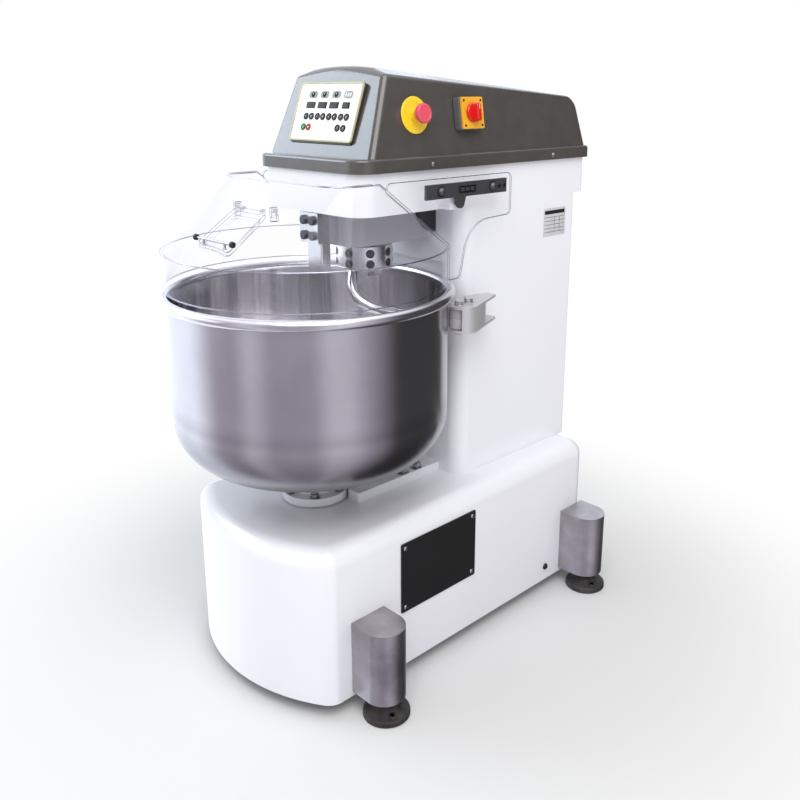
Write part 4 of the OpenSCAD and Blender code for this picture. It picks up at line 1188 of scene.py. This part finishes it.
class MIXER_OT_drive(bpy.types.Operator):
    """Frame, motors, pulleys, belts and bearings inside the casings"""

    bl_idname = "mixer.drive"
    bl_label = "Drive"

    def execute(self, context):
        inner = {"chassis_frame": "frame", "bowl_motor": "motor", "spiral_motor": "motor",
                 "drive_belts": "belt", "bowl_pulley": "iron", "spiral_pulley": "iron",
                 "bowl_motor_pulley": "iron",
                 "spiral_motor_pulley": "iron", "shaft_bearings": "chrome"}
        for node, name in inner.items():
            refined(node, finish_of(name), 30.0)
        return {"FINISHED"}


# ---------- stage ----------


class MIXER_OT_stage(bpy.types.Operator):
    """Pale floor, soft lights, surroundings and camera"""

    bl_idname = "mixer.stage"
    bl_label = "Stage"

    def execute(self, context):
        self.floor()
        self.lights()
        self.surroundings(context.scene)
        self.camera(context.scene)
        context.scene.view_settings.view_transform = "Standard"
        return {"FINISHED"}

    def floor(self):
        """Pale floor that fades to white away from the machine and lets reflections through."""
        near, far = 0.55, 1.35
        bpy.ops.object.select_all(action="DESELECT")
        bpy.ops.mesh.primitive_plane_add(size=40, location=(0, 0, 0))
        floor = bpy.context.object
        floor.name = "floor"
        paint = Finish("floor_paint", (0.78, 0.78, 0.78), 0.9)
        paint.set("Specular IOR Level", 0.0)
        paint.tone(paint.pattern(0.6, detail=1.0), 0.995, 1.005)
        path = paint.node("ShaderNodeLightPath")
        beyond = paint.node("ShaderNodeBsdfTransparent")
        choose = paint.node("ShaderNodeMixShader")
        out = next(n for n in paint.tree.nodes if n.bl_idname == "ShaderNodeOutputMaterial")
        paint.link(path.outputs["Is Glossy Ray"], choose.inputs["Fac"])
        paint.link(beyond.outputs["BSDF"], choose.inputs[2])
        where = paint.node("ShaderNodeTexCoord")
        reach = paint.node("ShaderNodeVectorMath", operation="LENGTH")
        fade = paint.node("ShaderNodeMapRange", interpolation_type="SMOOTHSTEP")
        fade.inputs["From Min"].default_value = near
        fade.inputs["From Max"].default_value = far
        white = paint.node("ShaderNodeEmission")
        spread = paint.node("ShaderNodeMixShader")
        paint.link(where.outputs["Object"], reach.inputs[0])
        paint.link(reach.outputs["Value"], fade.inputs["Value"])
        paint.link(fade.outputs["Result"], spread.inputs["Fac"])
        paint.link(paint.shader.outputs["BSDF"], spread.inputs[1])
        paint.link(white.outputs["Emission"], spread.inputs[2])
        paint.link(spread.outputs["Shader"], choose.inputs[1])
        paint.link(choose.outputs["Shader"], out.inputs["Surface"])
        floor.data.materials.append(paint.material)

    def lights(self):
        """Three soft boxes, each as name, place, aim, size, power and colour."""
        boxes = [("side", (-2.05, -1.4, 2.06), (0, -0.2, 1.0), 1.3, 23, (0.76, 0.88, 1.0)),
                 ("low", (-1.0, -2.3, 1.3), (0, -0.2, 0.4), 1.2, 4, (1.0, 1.0, 1.0)),
                 ("top", (1.6, -1.2, 3.0), (0, 0, 0.5), 2.2, 56, (1.0, 1.0, 1.0))]
        for name, spot, target, size, power, colour in boxes:
            bpy.ops.object.light_add(type="AREA", location=spot)
            light = bpy.context.object
            light.name = name + "_light"
            light.data.size = size
            light.data.energy = power
            light.data.color = colour
            light.visible_camera = False
            light.rotation_euler = (Vector(target) - Vector(spot)).to_track_quat("-Z", "Y").to_euler()

    def surroundings(self, scene):
        """White to the eye and to matt surfaces; soft light and dark cards in reflections."""
        world = bpy.data.worlds.new("studio")
        scene.world = world
        world.use_nodes = True
        tree = world.node_tree
        tree.nodes.clear()

        def node(kind, **settings):
            made = tree.nodes.new(kind)
            for key, value in settings.items():
                setattr(made, key, value)
            return made

        where = node("ShaderNodeTexCoord")
        split = node("ShaderNodeSeparateXYZ")
        turn = node("ShaderNodeMath", operation="ARCTAN2")
        share = node("ShaderNodeMapRange")
        share.inputs["From Min"].default_value = -math.pi
        share.inputs["From Max"].default_value = math.pi
        cards = node("ShaderNodeValToRGB")
        softbox, wall = (0.8, 0.85, 0.95), (0.27, 0.25, 0.3)
        strip, flag = (0.45, 0.45, 0.5), (0.03, 0.03, 0.03)
        stops = [(0.0, softbox), (0.1, softbox), (0.17, wall), (0.22, wall), (0.26, strip), (0.31, wall),
                 (0.4, wall), (0.44, strip), (0.48, strip), (0.53, wall), (0.6, flag), (0.77, flag),
                 (0.87, softbox), (1.0, softbox)]
        while len(cards.color_ramp.elements) < len(stops):
            cards.color_ramp.elements.new(0.5)
        for element, (position, colour) in zip(cards.color_ramp.elements, stops):
            element.position = position
            element.color = (*colour, 1.0)
        upward = node("ShaderNodeMapRange")
        upward.inputs["From Min"].default_value = 0.45
        upward.inputs["From Max"].default_value = 0.85
        ceiling = node("ShaderNodeMix", data_type="RGBA")
        ceiling.inputs["B"].default_value = (0.8, 0.8, 0.86, 1.0)
        path = node("ShaderNodeLightPath")
        mirror = node("ShaderNodeBackground")
        mirror.inputs["Strength"].default_value = 1.6
        white = node("ShaderNodeBackground")
        white.inputs["Color"].default_value = (1.0, 1.0, 1.0, 1.0)
        soft = node("ShaderNodeBackground")
        soft.inputs["Color"].default_value = (1.0, 1.0, 1.0, 1.0)
        soft.inputs["Strength"].default_value = 0.66
        seen = node("ShaderNodeMixShader")
        choose = node("ShaderNodeMixShader")
        out = node("ShaderNodeOutputWorld")
        wires = [(where.outputs["Generated"], split.inputs["Vector"]),
                 (split.outputs["Y"], turn.inputs[0]),
                 (split.outputs["X"], turn.inputs[1]),
                 (turn.outputs["Value"], share.inputs["Value"]),
                 (share.outputs["Result"], cards.inputs["Fac"]),
                 (cards.outputs["Color"], ceiling.inputs["A"]),
                 (split.outputs["Z"], upward.inputs["Value"]),
                 (upward.outputs["Result"], ceiling.inputs["Factor"]),
                 (ceiling.outputs["Result"], mirror.inputs["Color"]),
                 (path.outputs["Is Glossy Ray"], choose.inputs["Fac"]),
                 (path.outputs["Is Camera Ray"], seen.inputs["Fac"]),
                 (soft.outputs["Background"], seen.inputs[1]),
                 (white.outputs["Background"], seen.inputs[2]),
                 (seen.outputs["Shader"], choose.inputs[1]),
                 (mirror.outputs["Background"], choose.inputs[2]),
                 (choose.outputs["Shader"], out.inputs["Surface"])]
        for source, target in wires:
            tree.links.new(source, target)

    def camera(self, scene):
        """The main view, from the front right and a little above."""
        bpy.ops.object.camera_add(
            location=(1.4403, -1.3032, 1.2509), rotation=(math.radians(74.87), 0, math.radians(45.91)))
        camera = bpy.context.object
        camera.data.sensor_width = 36
        camera.data.lens = 38.876
        camera.data.shift_x = -0.017
        camera.data.shift_y = -0.091
        scene.camera = camera


# ---------- panel and registration ----------

STEPS = (MIXER_OT_casings, MIXER_OT_rear_panel, MIXER_OT_top_cover, MIXER_OT_side_panels,
         MIXER_OT_fasteners, MIXER_OT_rating_plate, MIXER_OT_gland, MIXER_OT_bowl, MIXER_OT_hub,
         MIXER_OT_spiral, MIXER_OT_breaker, MIXER_OT_guard, MIXER_OT_hatch, MIXER_OT_roller,
         MIXER_OT_feet, MIXER_OT_control_panel, MIXER_OT_keys, MIXER_OT_emergency_stop,
         MIXER_OT_main_switch, MIXER_OT_drive, MIXER_OT_stage)


class MIXER_PT_panel(bpy.types.Panel):
    """Lists the mixer's sizes, colours and pieces."""

    bl_idname = "MIXER_PT_panel"
    bl_label = "Spiral Dough Mixer"
    bl_space_type = "VIEW_3D"
    bl_region_type = "UI"
    bl_category = "Mixer"

    def draw(self, context):
        looks = context.scene.mixer_looks
        for name in MixerLooks.__annotations__:
            self.layout.prop(looks, name)
        for step in STEPS:
            self.layout.operator(step.bl_idname)


def register():
    """Registers the classes and the sizes and colours."""
    for item in (MixerLooks, *STEPS, MIXER_PT_panel):
        bpy.utils.register_class(item)
    bpy.types.Scene.mixer_looks = PointerProperty(type=MixerLooks)


def unregister():
    """Takes the classes away again."""
    del bpy.types.Scene.mixer_looks
    for item in reversed((MixerLooks, *STEPS, MIXER_PT_panel)):
        bpy.utils.unregister_class(item)


def main():
    """Builds every piece in order."""
    register()
    for step in STEPS:
        family, name = step.bl_idname.split(".")
        getattr(getattr(bpy.ops, family), name)()


if __name__ == "__main__":
    main()
